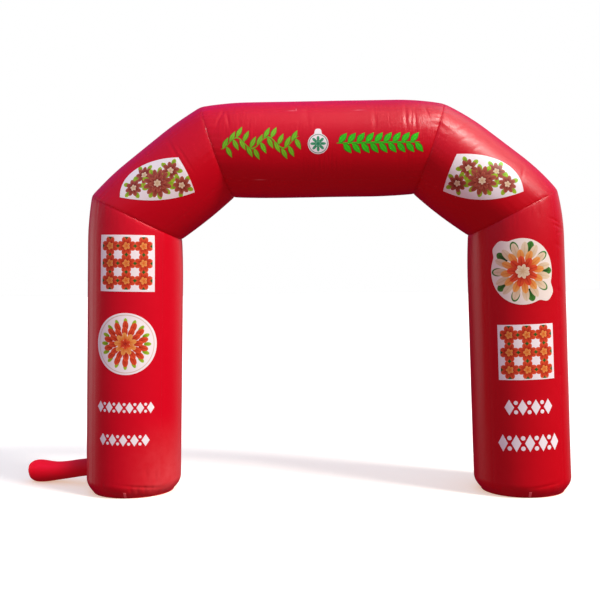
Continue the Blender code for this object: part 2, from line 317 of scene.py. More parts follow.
# Each pair below is where something starts to show and where it shows in full, as shares of
# the way up, right or back.
HORIZON, ZENITH = (0.02, 0.22), (0.10, 0.80)
Glare = namedtuple("Glare", "azimuth height fall colour")
GLARES = (
    Glare(math.radians(60.0), math.radians(57.0), 9.0, (3.8, 3.5, 3.4, 1.0)),
    Glare(math.radians(62.0), math.radians(39.0), 60.0, (7.0, 14.0, 13.0, 1.0)),
    Glare(math.radians(50.0), math.radians(53.0), 70.0, (18.0, 40.0, 36.0, 1.0)),
)
WALL_GLOW = (1.40, 1.28, 1.24, 1.0)
WALL_LEFT, WALL_LEFT_BACK = (0.62, 0.92), (-0.3, 0.4)
WALL_RIGHT, WALL_RIGHT_BACK, WALL_RIGHT_SHARE = (0.10, 0.45), (0.3, 0.95), 0.40
WALL_MIDDLE, WALL_HEIGHT = 0.02, 0.22
PANEL_GLOW = (0.90, 2.20, 2.30, 1.0)
PANEL_RIGHT, PANEL_UP = (0.08, 0.50), (0.52, 0.84)
SURROUND_WHITE = (1.0, 1.0, 1.0, 1.0)


def lamp_way(azimuth, height):
    """Return the direction towards a lamp. Azimuth 0 is the front, turning to the right."""
    flat = math.cos(height)
    return Vector((math.sin(azimuth) * flat, -math.cos(azimuth) * flat, math.sin(height)))


def sky_of(tree, up, low, top, ground):
    """Return a sky's colour: ground below, a low band above the horizon, and the top."""
    sky = blend(tree, low, top, step_up(up, *ZENITH))
    return blend(tree, ground, sky, step_up(up, *HORIZON))


def mirrored_sky(tree, right, back, up):
    """Return the colour that glossy cloth mirrors in a direction."""
    colour = sky_of(tree, up, GLOSS_LOW, GLOSS_TOP, GLOSS_GROUND)
    on_left = step_up(right * -1.0, *WALL_LEFT) * step_up(back, *WALL_LEFT_BACK)
    on_right = step_up(right, *WALL_RIGHT) * step_up(back, *WALL_RIGHT_BACK) * WALL_RIGHT_SHARE
    wall = (on_left + on_right) * hump(up - WALL_MIDDLE, WALL_HEIGHT)
    colour = blend(tree, colour, WALL_GLOW, wall)
    panel = step_up(right, *PANEL_RIGHT) * step_up(up, *PANEL_UP)
    colour = blend(tree, colour, PANEL_GLOW, panel)
    for glare in GLARES:
        towards = lamp_way(glare.azimuth, glare.height)
        facing = right * towards.x + back * towards.y + up * towards.z
        colour = blend(tree, colour, glare.colour, exp((facing - 1.0) * glare.fall))
    return colour


def add_skies():
    """Make the surround: a sky that lights, one that glossy cloth mirrors, and plain white."""
    world = bpy.data.worlds.new("surround")
    bpy.context.scene.world = world
    world.use_nodes = True
    tree = world.node_tree
    tree.nodes.clear()
    right, back, up = parts_of(tree, tree.nodes.new("ShaderNodeTexCoord").outputs["Generated"])
    ray = tree.nodes.new("ShaderNodeLightPath")
    lighting = sky_of(tree, up, SKY_LOW, SKY_TOP, GROUND)
    mirrored = mirrored_sky(tree, right, back, up)
    both = blend(tree, lighting, mirrored, ray.outputs["Is Glossy Ray"])
    shown = blend(tree, both, SURROUND_WHITE, ray.outputs["Is Camera Ray"])
    background = tree.nodes.new("ShaderNodeBackground")
    tree.links.new(shown, background.inputs["Color"])
    output = tree.nodes.new("ShaderNodeOutputWorld")
    tree.links.new(background.outputs[0], output.inputs["Surface"])


add_skies()
print("a sky that lights, and one with", len(GLARES), "glares that glossy cloth mirrors")

# %% Lamps
KEY_AZIMUTH, KEY_HEIGHT = math.radians(61.0), math.radians(39.0)
KEY_WIDTH, KEY_STRENGTH = math.radians(14.0), 3.2
KEY_COLOUR = (1.0, 0.95, 0.86)
SPOT_PLACE, SPOT_TARGET = Vector((-3.6, -1.3, 2.6)), Vector((-2.93, 0.33, 0.17))
SPOT_STRENGTH, SPOT_RADIUS = 275.0, 0.12
SPOT_SIZE, SPOT_BLEND = math.radians(20.5), 0.9
SPOT_COLOUR = (1.0, 0.10, 0.45)
AIM = Vector((0.0, 0.0, 1.9))


def add_light(name, kind, strength, colour, place, target):
    """Stand a light at a place, and turn it to a target."""
    lamp = bpy.data.lights.new(name, kind)
    lamp.energy = strength
    lamp.color = colour
    obj = bpy.data.objects.new(name, lamp)
    bpy.context.scene.collection.objects.link(obj)
    obj.location = ARCH + place
    obj.rotation_euler = (target - place).to_track_quat("-Z", "Y").to_euler()
    return obj, lamp


key_sun, key_lamp = add_light("key_lamp", "SUN", KEY_STRENGTH, KEY_COLOUR,
                              AIM + lamp_way(KEY_AZIMUTH, KEY_HEIGHT) * FLOOR_SIDE, AIM)
key_lamp.angle = KEY_WIDTH
key_sun.visible_glossy = False
sleeve_spot, sleeve_lamp = add_light("sleeve_lamp", "SPOT", SPOT_STRENGTH, SPOT_COLOUR,
                                     SPOT_PLACE, SPOT_TARGET)
sleeve_lamp.spot_size = SPOT_SIZE
sleeve_lamp.spot_blend = SPOT_BLEND
sleeve_lamp.shadow_soft_size = SPOT_RADIUS
bpy.context.scene.view_settings.view_transform = "Standard"
print("one wide lamp, and a small one for the sleeve")

# %% [markdown]
# ## The camera
# It stands nearly nine metres in front of the arch, a little above a person's height, with a
# slightly long lens. From so far off the legs stay nearly upright.

# %% Camera
CAMERA_PLACE = Vector((0.1385, -8.8507, 2.1134))
CAMERA_PAN, CAMERA_TILT, CAMERA_ROLL = 2.389, -2.084, -0.692
CAMERA_LENS, CAMERA_SENSOR = 56.4, 36.0


def add_camera():
    """Stand the camera in front of the arch, a little above a person's height."""
    data = bpy.data.cameras.new("camera")
    data.lens = CAMERA_LENS
    data.sensor_width = CAMERA_SENSOR
    camera = bpy.data.objects.new("camera", data)
    bpy.context.scene.collection.objects.link(camera)
    pan = Matrix.Rotation(math.radians(CAMERA_PAN), 4, "Z")
    tilt = Matrix.Rotation(math.radians(90.0 + CAMERA_TILT), 4, "X")
    roll = Matrix.Rotation(math.radians(CAMERA_ROLL), 4, "Z")
    camera.matrix_world = Matrix.Translation(ARCH + CAMERA_PLACE) @ pan @ tilt @ roll
    bpy.context.scene.camera = camera


add_camera()
print("camera", round((CAMERA_PLACE - AIM).length, 2), "m from the arch")

# %% [markdown]
# ## The cloth
# Nylon for these arches is woven fine and coated on one side, which gives it a satin face: a
# sharp highlight from the coating on top of a broad one from the yarn. Real cloth is never one
# flat red, so slow noise shifts the colour and the gloss a little, the weave is a small bump,
# and dust dulls the lowest hand's breadth. The red is also painted deeper towards the right of
# the arch, as painted shade. The high parts, where the air pulls hardest, are strained into
# fine creases. The left leg's lit inner side is painted paler at its foot, a painted sheen, and
# a few laps of the beam's seams carry short painted highlights over a small raised bump. The
# sleeve and the discs under the feet are of plainer cloth, with no gloss coat. Patterns are
# measured in metres on the cloth's own UV map, so they follow it round the tube.

# %% Colours and sizes of the cloth
RED_DEEP = (0.537, 0.0005, 0.005, 1.0)
RED_FRESH = (0.695, 0.0005, 0.015, 1.0)
RED_DUST = (0.26, 0.05, 0.045, 1.0)
# The glint colour is a painted highlight on the beam's seam laps, and the scuff colour a painted
# sheen on the left leg's lit foot.
RED_PAINTED_GLINT = (1.0, 0.30, 0.34, 1.0)
RED_PAINTED_SHEEN = (0.76, 0.115, 0.12, 1.0)
SATIN_TINT = (1.0, 0.74, 0.82, 1.0)
SPECULAR, COAT_ROUGHNESS = 0.30, 0.21
WEAVE_PITCH, WEAVE_HEIGHT = 0.0022, 0.00006
CRINKLE_HEIGHT = 0.0005
STRAIN_LOW, STRAIN_HIGH = 2.3, 3.0
STRAIN_HEIGHT, STRAIN_MORE = 0.0007, 0.0017
DUST_TOP, DUST_SHARE = 0.16, 0.35
# Where the painted sheen on the left leg's foot lies: its side, width, height and share.
SHEEN_SIDE, SHEEN_WIDTH = -1.07, 0.27
SHEEN_BOTTOM, SHEEN_TOP, SHEEN_SHARE = 0.10, 0.80, 0.45
PAINTED_GLINT_SHARE, GLINT_HEIGHT = 0.45, 0.0015
# Each tick marks a lap of the beam's seams, painted pale as a highlight over a small bump.
Tick = namedtuple("Tick", "along angle radius length width")
TICKS = (
    Tick(0.722, 45.0, 0.446, 0.034, 0.006),
    Tick(0.758, 43.0, 0.446, 0.004, 0.016),
    Tick(1.325, 46.0, 0.446, 0.040, 0.005),
    Tick(0.424, 133.0, 0.446, 0.042, 0.005),
)
print("a weave of", WEAVE_PITCH * 1000.0, "mm, and", len(TICKS), "glints")

# %% What every finish needs
def new_material(name):
    """Return a material's tree and its shader."""
    material = bpy.data.materials.new(name)
    material.use_nodes = True
    tree = material.node_tree
    return material, tree, tree.nodes["Principled BSDF"]


def place_on_cloth(tree):
    """Return the two numbers that tell where a point lies on the cloth, in metres."""
    node = tree.nodes.new("ShaderNodeUVMap")
    node.uv_map = "cloth"
    across, along, _ = parts_of(tree, node.outputs["UV"])
    return across, along


def place_in_space(tree):
    """Return the point's own coordinates, in metres."""
    return tree.nodes.new("ShaderNodeTexCoord").outputs["Object"]


def finish(tree, shader, colour, roughness, height):
    """Feed a shader its colour, its roughness, and the height of its surface in metres."""
    tree.links.new(colour, shader.inputs["Base Color"])
    feed(tree, shader.inputs["Roughness"], roughness)
    node = tree.nodes.new("ShaderNodeBump")
    node.inputs["Distance"].default_value = 1.0
    feed(tree, node.inputs["Height"], height)
    tree.links.new(node.outputs["Normal"], shader.inputs["Normal"])


def weave(across, along, pitch, height):
    """Return the height of a plain weave, whose threads cross over and under."""
    turn = math.tau / pitch
    return sin(across * turn) * sin(along * turn) * height


def crinkle(tree, space):
    """Return the height of the small crinkles in the coating, which prints take on too."""
    return noise(tree, space, 2.0, scale=22.0, detail=4.0) * CRINKLE_HEIGHT


print("a finish is a colour, a roughness and a height")

# %% Coated fabric
def coated_red(tree, right, up, slow, fine, tone):
    """Return the cloth's red: deep and fresh in patches, painted deeper towards the right as shade,
    dusty near the ground, and with a painted sheen at the left leg's foot.
    """
    # Painted shade: the term with right makes the red deeper towards the right of the arch.
    fresh = slow * 0.35 + fine * 0.06 - right * 0.16 + (0.5 + tone)
    colour = blend(tree, RED_DEEP, RED_FRESH, clamped(fresh))
    dusty = (1.0 - step_up(up, 0.0, DUST_TOP)) * step_up(fine, -0.3, 0.7) * DUST_SHARE
    colour = blend(tree, colour, RED_DUST, dusty)
    # Painted sheen: the left leg's lit inner side turns paler near the foot.
    painted_sheen = hump(right - SHEEN_SIDE, SHEEN_WIDTH) * (1.0 - step_up(up, SHEEN_BOTTOM, SHEEN_TOP))
    return blend(tree, colour, RED_PAINTED_SHEEN, painted_sheen * (fine * 0.3 + slow * 0.2 + SHEEN_SHARE))


def strained(tree, space, up, across, along):
    """Return the height of the fine creases that run round the tube where it is strained."""
    creases = noise(tree, vector(tree, across * 4.0, along * 34.0, 0.0), 12.0, detail=2.0)
    creases = creases * step_up(noise(tree, space, 4.0, scale=2.2), -0.3, 0.4)
    return creases * (step_up(up, STRAIN_LOW, STRAIN_HIGH) * STRAIN_MORE + STRAIN_HEIGHT)


def coated_fabric(name, roughness=0.40, coat=0.30, tone=0.0, ticks=()):
    """Make the satin red cloth. A tick is a short painted highlight where a lap of the seam stands
    up, over a small real bump.
    """
    material, tree, shader = new_material(name)
    across, along = place_on_cloth(tree)
    space = place_in_space(tree)
    slow = noise(tree, space, 5.0, scale=0.9, detail=3.0)
    fine = noise(tree, space, 8.0, scale=14.0, detail=3.0)
    right, _, up = parts_of(tree, space)
    colour = coated_red(tree, right, up, slow, fine, tone)
    # Painted highlight: this mask tints the beam's seam laps pale, and also lifts them as a small
    # real bump.
    glint = across * 0.0
    for tick in ticks:
        lap = hump(across - math.radians(tick.angle) * tick.radius, tick.width)
        glint = larger(glint, lap * hump(along - tick.along, tick.length))
    colour = blend(tree, colour, RED_PAINTED_GLINT, glint * PAINTED_GLINT_SHARE)
    relief = weave(across, along, WEAVE_PITCH, WEAVE_HEIGHT) + crinkle(tree, space)
    relief = relief + strained(tree, space, up, across, along) + glint * GLINT_HEIGHT
    finish(tree, shader, colour, slow * 0.05 + fine * 0.03 + roughness, relief)
    shader.inputs["Specular Tint"].default_value = SATIN_TINT
    shader.inputs["Specular IOR Level"].default_value = SPECULAR
    shader.inputs["Coat Weight"].default_value = coat
    shader.inputs["Coat Roughness"].default_value = COAT_ROUGHNESS
    return material


CLOTH = coated_fabric("coated_fabric_red")
BEAM_CLOTH = coated_fabric("coated_fabric_beam", ticks=TICKS)
SLEEVE_CLOTH = coated_fabric("coated_fabric_sleeve", roughness=0.60, coat=0.0, tone=0.3)
print("three coated fabrics: plain, with glints for the beam, and dull for the sleeve")

# %% [markdown]
# ## Rolling a flat sheet into an inflated tube
# A tube's shape follows a rule, so Geometry Nodes make it: a flat grid of cloth is rolled up
# by a formula. The same formula will later carry the prints, the stitches and the ornaments,
# which is why it is a function that writes its nodes into any tree. Modelling each tube by
# hand would be quick too, but then nothing laid on it would follow its folds.
#
# Layers of relief sit on the plain tube. The sewing draws the cloth in at both ends. Puckers
# run from the sewing into the cloth and die out. Four lengthwise seams join the cut panels,
# with small wrinkles across them. The whole tube swells a little unevenly, and is crimped in
# patches. Last, single creases are listed one by one.

# %% The sizes of a tube as named inputs
GROOVE = 0.0045
PUCKER_DEPTH = 0.0075
PUCKER_REACH, FOOT_PUCKER_REACH = 0.26, 0.17
SEAM_GAP, FOOT_GAP = 0.0002, BASE_TOP + 0.0003


def unit(name_from, name_to):
    """Return the direction and the length from one corner to another."""
    first, last = CORNERS[name_from], CORNERS[name_to]
    step = Vector((last.x - first.x, last.z - first.z))
    return step.normalized(), step.length


def slope(tube, name):
    """Return how far along the tube its mitre plane runs, for each metre outwards."""
    along, _ = unit(tube.start, tube.end)
    outwards = Vector((-along.y, along.x))
    meeting = [unit(other.start, other.end)[0] for other in TUBES.values()
               if name in (other.start, other.end)]
    normal = sum(meeting, Vector((0.0, 0.0))) if len(meeting) > 1 else Vector((0.0, 1.0))
    return outwards.dot(normal) / along.dot(normal)


def sizes_of(tube):
    """Return every size that shapes a tube, by the name of its input."""
    along, length = unit(tube.start, tube.end)
    first = CORNERS[tube.start]
    sizes = {
        "Start X": ARCH.x + first.x,
        "Start Z": first.z,
        "Middle Y": ARCH.y,
        "Direction X": along.x,
        "Direction Z": along.y,
        "Length": length,
    }
    for end, name in (("Start", tube.start), ("End", tube.end)):
        corner = CORNERS[name]
        is_foot = name.startswith("foot")
        sizes[f"{end} slope"] = slope(tube, name)
        sizes[f"{end} radius"] = corner.radius
        sizes[f"{end} outer"] = corner.outer
        sizes[f"{end} inner"] = corner.inner
        sizes[f"{end} reach"] = corner.reach
        sizes[f"{end} gathers"] = float(corner.gathers)
        sizes[f"{end} depth"] = corner.depth
        sizes[f"{end} turn"] = math.radians(corner.turn)
        sizes[f"{end} seed"] = corner.seed
        sizes[f"{end} groove"] = 0.0 if is_foot else GROOVE
        sizes[f"{end} gap"] = FOOT_GAP if is_foot else SEAM_GAP
        sizes[f"{end} puckers"] = PUCKER_DEPTH
        sizes[f"{end} pucker reach"] = FOOT_PUCKER_REACH if is_foot else PUCKER_REACH
    return sizes


for tube in TUBES.values():
    print(tube.name, {name: round(value, 3) for name, value in list(sizes_of(tube).items())[:6]})

# %% Creases listed one by one
# Each crease has a place along the tube in metres and round it in degrees, a size in metres,
# and a lean: how far it slants for each metre round.
Crease = namedtuple("Crease", "tube along angle length width depth lean")
CREASES = (
    Crease("beam", 1.741, 58.0, 0.115, 0.010, 0.0050, 0.0),
    Crease("beam", 1.790, 60.0, 0.080, 0.009, 0.0040, 0.1),
    Crease("beam", 1.826, 62.0, 0.105, 0.009, 0.0050, 0.0),
    Crease("beam", 1.470, 62.0, 0.085, 0.012, 0.0034, 0.0),
    Crease("beam", 1.935, 48.0, 0.060, 0.010, 0.0034, -0.2),
    Crease("beam", 0.860, 52.0, 0.100, 0.016, 0.0022, 0.0),
    Crease("beam", 0.145, 58.0, 0.100, 0.011, 0.0046, -0.2),
    Crease("beam", 0.070, 52.0, 0.110, 0.012, 0.0040, 0.3),
    Crease("shoulder_left", 0.690, 70.0, 0.200, 0.009, 0.0042, 0.1),
    Crease("shoulder_left", 0.735, 80.0, 0.130, 0.009, 0.0030, 0.1),
    Crease("shoulder_right", 0.120, 50.0, 0.110, 0.012, 0.0034, 0.5),
    Crease("shoulder_right", 0.235, 56.0, 0.120, 0.013, 0.0034, 0.5),
    Crease("shoulder_right", 0.360, 58.0, 0.090, 0.012, 0.0028, 0.4),
    Crease("shoulder_right", 0.800, 52.0, 0.070, 0.011, 0.0034, -0.3),
    Crease("leg_right", 0.110, 44.0, 0.070, 0.010, 0.0045, 0.3),
    Crease("leg_right", 0.165, 38.0, 0.070, 0.010, 0.0055, 0.2),
    Crease("leg_right", 0.215, 36.0, 0.055, 0.009, 0.0045, -0.2),
    Crease("leg_right", 0.335, 40.0, 0.065, 0.012, 0.0040, 0.2),
    Crease("leg_right", 0.733, 44.0, 0.060, 0.011, 0.0040, 0.4),
    Crease("leg_right", 0.790, 40.0, 0.045, 0.010, 0.0030, 0.2),
    Crease("leg_right", 1.095, 44.0, 0.050, 0.011, 0.0034, 0.0),
    Crease("leg_right", 1.500, 46.0, 0.055, 0.011, 0.0036, 0.0),
    Crease("leg_right", 1.686, 41.0, 0.050, 0.011, 0.0030, 0.0),
    Crease("leg_left", 0.235, 116.0, 0.018, 0.050, 0.0040, 0.0),
    Crease("leg_left", 0.190, 128.0, 0.016, 0.060, 0.0055, 0.2),
    Crease("leg_left", 0.112, 112.0, 0.170, 0.013, 0.0075, 0.10),
    Crease("leg_left", 0.088, 98.0, 0.014, 0.035, 0.0050, 0.3),
    Crease("leg_left", 0.080, 106.0, 0.013, 0.032, 0.0060, -0.3),
    Crease("leg_left", 0.092, 115.0, 0.014, 0.035, 0.0060, 0.4),
    Crease("leg_left", 0.085, 124.0, 0.013, 0.032, 0.0055, -0.2),
    Crease("leg_left", 0.100, 62.0, 0.015, 0.035, 0.0050, 0.0),
    Crease("leg_right", 2.482, 70.0, 0.150, 0.013, 0.0060, -0.10),
)


print(len(CREASES), "creases")

# %% How the sewing draws the cloth in
def drawn_in(size, end, angle):
    """Return how far the sewing at one end draws the cloth in."""
    side = cos(angle) * 0.5 + 0.5
    even = size[f"{end} inner"] + (size[f"{end} outer"] - size[f"{end} inner"]) * side
    wave = 0.5 - cos(angle * size[f"{end} gathers"] + size[f"{end} turn"]) * 0.5
    return even + size[f"{end} depth"] * wave


def fade(distance, reach):
    """Return 1 at a seam, falling smoothly to 0 where its pull ends."""
    return square(larger(1.0 - larger(distance, 0.0) / reach, 0.0))


def puckers(tree, size, end, angle, distance, way):
    """Return the small folds that run from a seam into the cloth."""
    spot = vector(tree, cos(angle) * 9.0, sin(angle) * 9.0, distance * way * 2.5)
    folds = noise(tree, spot, size[f"{end} seed"], scale=1.0, detail=2.0)
    side = cos(angle) * 0.30 + 0.70
    return folds * side * size[f"{end} puckers"] * fade(distance, size[f"{end} pucker reach"])


def tube_end(tree, size, end, angle, tuck):
    """Return where the seam at one end lies, once the sewing there has drawn the cloth in."""
    way = 1.0 if end == "Start" else -1.0
    still = angle * 0.0
    pull = drawn_in(size, end, angle) + size[f"{end} groove"] + tuck
    pull = pull - puckers(tree, size, end, angle, still, way)
    outwards = (size[f"{end} radius"] - pull) * cos(angle)
    shift = -(outwards * size[f"{end} slope"])
    if end == "Start":
        return shift + size["Start gap"]
    return size["Length"] + shift - size["End gap"]


print("a seam pulls with a wave, a groove and small puckers")

# %% The formula for a point of the cloth
GROOVE_WIDTH = 0.012
SEAM_ANGLE = math.radians(45.0)      # the first of four lengthwise seams
SEAM_SHARP, BAND_SHARP = 160.0, 9.0  # how narrow a seam is, and the wrinkled band along it
SEAM_DIP, SWELL, RIPPLE, CRIMP = 0.0012, 0.003, 0.0022, 0.0016


def seams_formula(tree, size, _):
    """Write the formula for where the two seams of a tube lie at an angle."""
    return {
        "Begin": tube_end(tree, size, "Start", size["Angle"], size["Start tuck"]),
        "Finish": tube_end(tree, size, "End", size["Angle"], size["End tuck"]),
    }


def cloth_formula(tree, size, tube):
    """Write the formula for the place of a point of the cloth, lifted off it by a distance."""
    along, angle = size["Along"], size["Angle"]
    begin, finish, lift = size["Begin"], size["Finish"], size["Lift"]
    tucks = (size["Start tuck"], size["End tuck"])
    share = (along - begin) / (finish - begin)
    radius = size["Start radius"] + (size["End radius"] - size["Start radius"]) * share + lift
    for end, distance, way, tuck in (
        ("Start", along - begin, 1.0, tucks[0]),
        ("End", finish - along, -1.0, tucks[1]),
    ):
        radius = radius - drawn_in(size, end, angle) * fade(distance, size[f"{end} reach"])
        groove = exp(-(larger(distance, 0.0) / GROOVE_WIDTH)) * size[f"{end} groove"]
        radius = radius - groove - tuck + puckers(tree, size, end, angle, distance, way)
    ring_x, ring_y = cos(angle), sin(angle)

    def noise_round(fine, long, seed):
        """Return noise that closes on itself round the tube."""
        return noise(tree, vector(tree, ring_x * fine, ring_y * fine, along * long), seed)

    radius = radius + noise_round(0.9, 1.5, size["Start seed"]) * SWELL
    near_seam = cos((angle - SEAM_ANGLE) * 4.0) - 1.0
    seam, band = exp(near_seam * SEAM_SHARP), exp(near_seam * BAND_SHARP)
    ripple = noise_round(1.6, 22.0, size["End seed"])
    patch = noise_round(2.0, 2.2, size["Start seed"])
    radius = radius - seam * SEAM_DIP + ripple * band * step_up(patch, 0.0, 0.6) * RIPPLE
    crimp = noise_round(1.3, 15.0, size["End seed"] + 5.0)
    patch = noise_round(1.2, 1.3, size["End seed"] + 9.0)
    radius = radius + crimp * step_up(patch, 0.0, 0.5) * CRIMP
    for crease in CREASES:
        if crease.tube == tube.name:
            round_it = (angle - math.radians(crease.angle)) * size["Start radius"]
            down = along - crease.along + round_it * crease.lean
            fold = hump(round_it, crease.length) * hump(down, crease.width)
            radius = radius - fold * crease.depth
    x = size["Start X"] + size["Direction X"] * along - size["Direction Z"] * radius * ring_x
    z = size["Start Z"] + size["Direction Z"] * along + size["Direction X"] * radius * ring_x
    y = size["Middle Y"] - radius * ring_y
    return {"Place": vector(tree, x, y, z)}


print("the plain tube swells, dips at its seams, and wrinkles along them")

# %% Building a tree
def new_tree(name, sizes):
    """Return a Geometry Nodes tree with named inputs, and its inputs as numbers."""
    tree = bpy.data.node_groups.new(name, "GeometryNodeTree")
    face = tree.interface
    face.new_socket("Geometry", in_out="INPUT", socket_type="NodeSocketGeometry")
    for label, value in sizes.items():
        kind = "NodeSocketInt" if isinstance(value, int) else "NodeSocketFloat"
        face.new_socket(label, in_out="INPUT", socket_type=kind).default_value = value
    face.new_socket("Geometry", in_out="OUTPUT", socket_type="NodeSocketGeometry")
    entry = tree.nodes.new("NodeGroupInput")
    size = {label: Number(tree, entry.outputs[label]) for label in sizes}
    return tree, entry.outputs["Geometry"], size


def add(tree, kind, *settings, **inputs):
    """Add a node, set its properties, and feed its inputs by name."""
    node = tree.nodes.new(kind)
    for name, value in settings:
        setattr(node, name, value)
    for label, item in inputs.items():
        feed(tree, node.inputs[label.replace("_", " ")], item)
    return node


print("a tree has named inputs, and its nodes are fed by name")

# %% A formula as a node group
def build_group(name, formula, labels, tube):
    """Write a formula once, as a node group with one input for each label."""
    group = bpy.data.node_groups.new(name, "GeometryNodeTree")
    for label in labels:
        group.interface.new_socket(label, in_out="INPUT", socket_type="NodeSocketFloat")
    entry = group.nodes.new("NodeGroupInput")
    size = {label: Number(group, entry.outputs[label]) for label in labels}
    results = formula(group, size, tube)
    for label, item in results.items():
        kind = "NodeSocketFloat" if isinstance(item, Number) else "NodeSocketVector"
        group.interface.new_socket(label, in_out="OUTPUT", socket_type=kind)
    leave = group.nodes.new("NodeGroupOutput")
    for label, item in results.items():
        feed(group, leave.inputs[label], item)
    return group


def use_group(tree, formula, tube, size, **items):
    """Use a tube's formula in a tree. It is built at the first use."""
    name = f"{formula.__name__}_{tube.name}"
    inputs = {label: size[label] for label in sizes_of(tube)}
    inputs.update({label.replace("_", " "): item for label, item in items.items()})
    group = bpy.data.node_groups.get(name) or build_group(name, formula, inputs, tube)
    node = tree.nodes.new("GeometryNodeGroup")
    node.node_tree = group
    for label, item in inputs.items():
        feed(tree, node.inputs[label], item)
    return node


def seams_at(tree, size, tube, angle, tucks=(0.0, 0.0)):
    """Return where the two seams of a tube lie at an angle."""
    node = use_group(tree, seams_formula, tube, size, Angle=angle, Start_tuck=tucks[0],
                     End_tuck=tucks[1])
    return Number(tree, node.outputs["Begin"]), Number(tree, node.outputs["Finish"])


def cloth_point(tree, size, tube, along, angle, ends, lift=0.0, tucks=(0.0, 0.0)):
    """Return the place of a point of the cloth, lifted off it by a distance."""
    node = use_group(tree, cloth_formula, tube, size, Along=along, Angle=angle, Begin=ends[0],
                     Finish=ends[1], Lift=lift, Start_tuck=tucks[0], End_tuck=tucks[1])
    return node.outputs["Place"]


print("each tube has its two formulas once, and every tree that needs them shares them")

# %% Running a tree
MAP = (("data_type", "FLOAT2"), ("domain", "CORNER"))


def mapped(tree, geometry, place):
    """Keep the place of each corner on the flat cloth as its UV map."""
    return add(tree, "GeometryNodeStoreNamedAttribute", *MAP, Geometry=geometry, Name="cloth",
               Value=place).outputs[0]


def close_tree(tree, geometry, material):
    """End a tree with real geometry in one material."""
    real = add(tree, "GeometryNodeRealizeInstances", Geometry=geometry)
    dressed = add(tree, "GeometryNodeSetMaterial", Geometry=real.outputs[0])
    dressed.inputs["Material"].default_value = material
    leave = tree.nodes.new("NodeGroupOutput")
    tree.links.new(dressed.outputs[0], leave.inputs[0])


def run_tree(name, tree, sizes, data=None):
    """Run a tree on an object, and return a plain mesh object with the result."""
    data = data or bpy.data.meshes.new(name)
    source = bpy.data.objects.new(f"{name}_source", data)
    bpy.context.scene.collection.objects.link(source)
    modifier = source.modifiers.new("shape", "NODES")
    modifier.node_group = tree
    for item in tree.interface.items_tree:
        if item.in_out == "INPUT" and item.name in sizes:
            modifier[item.identifier] = sizes[item.name]
    bpy.context.view_layer.update()
    depsgraph = bpy.context.evaluated_depsgraph_get()
    mesh = bpy.data.meshes.new_from_object(source.evaluated_get(depsgraph), depsgraph=depsgraph)
    bpy.data.objects.remove(source, do_unlink=True)
    mesh.name = name
    mesh.shade_smooth()
    piece = bpy.data.objects.new(name, mesh)
    bpy.context.scene.collection.objects.link(piece)
    return piece


def triangles(piece):
    """Return how many triangles a piece has."""
    return sum(len(polygon.vertices) - 2 for polygon in piece.data.polygons)


print("a tree is run once, and what it made is kept as a plain mesh")

# %% The tree of a tube
COLUMNS = 288
CROWD = 0.6              # how far the rows crowd towards the seams
RIM_ROWS, RIM_DEPTH = 2, 0.022
WELD = 0.00002           # points nearer than this become one


def tube_tree(tube):
    """Build the tree that rolls a flat grid into one tube."""
    sizes = sizes_of(tube)
    sizes["Columns"] = COLUMNS + 1
    sizes["Rows"] = tube.rows + 1
    tree, _, size = new_tree(f"inflate_{tube.name}", sizes)
    grid = add(tree, "GeometryNodeMeshGrid", Vertices_X=size["Columns"], Vertices_Y=size["Rows"])
    u, v, _ = point(tree)
    angle = (u + 0.5) * math.tau - math.pi / 2.0
    rim = RIM_ROWS / tube.rows
    row = (v + 0.5) * (1.0 + 2.0 * rim) - rim
    inside = clamped(row)
    share = inside * (1.0 - CROWD) + (1.0 - cos(inside * math.pi)) * (CROWD / 2.0)
    tucks = [larger(past, 0.0) * (RIM_DEPTH / rim) for past in (-row, row - 1.0)]
    ends = seams_at(tree, size, tube, angle, tucks)
    along = ends[0] + (ends[1] - ends[0]) * share
    place = cloth_point(tree, size, tube, along, angle, ends, tucks=tucks)
    flat = vector(tree, angle * size["Start radius"], along, 0.0)
    sheet = mapped(tree, grid.outputs["Mesh"], flat)
    rolled = add(tree, "GeometryNodeSetPosition", Geometry=sheet, Position=place)
    closed = add(tree, "GeometryNodeMergeByDistance", Geometry=rolled.outputs[0], Distance=WELD)
    close_tree(tree, closed.outputs[0], BEAM_CLOTH if tube.name == "beam" else CLOTH)
    return tree, sizes


print("the tree for a tube has", len(sizes_of(TUBES["beam"])) + 2, "named inputs")

# %% [markdown]
# ## Dressing a piece
# Every piece says which body it moves with, and the plain solid it stands for is hidden. A
# tube's cut is a rectangle as wide as the tube is round, less the two slanting ends, whose area
# is its width times the centre line. That area is worked out, but nothing uses it.

# %% Saying what a piece is
def dress(piece, node=None, area=None):
    """Tie a piece to the root body, hide the plain solid it stands for, and print its size.
    The area is not used.
    """
    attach(piece, "root")
    if node:
        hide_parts(node)
    low, high = [Vector(corner) for corner in (piece.bound_box[0], piece.bound_box[6])]
    spans = " x ".join(f"{value:.3f}" for value in high - low)
    print(f"{piece.name}: {triangles(piece)} triangles, {spans} m")


# %% Giving a sheet its thickness
CUT_EDGE = math.radians(50.0)


def add_thickness(piece, thickness):
    """Give a sheet its thickness, outwards, with a cut edge that looks sharp."""
    solidify = piece.modifiers.new("cloth", "SOLIDIFY")
    solidify.thickness = thickness
    solidify.offset = 1.0
    bpy.context.view_layer.update()
    depsgraph = bpy.context.evaluated_depsgraph_get()
    mesh = bpy.data.meshes.new_from_object(piece.evaluated_get(depsgraph), depsgraph=depsgraph)
    mesh.name = piece.name
    mesh.set_sharp_from_angle(angle=CUT_EDGE)
    piece.modifiers.clear()
    piece.data = mesh


print("an edge that turns by more than", round(math.degrees(CUT_EDGE)), "degrees stays sharp")

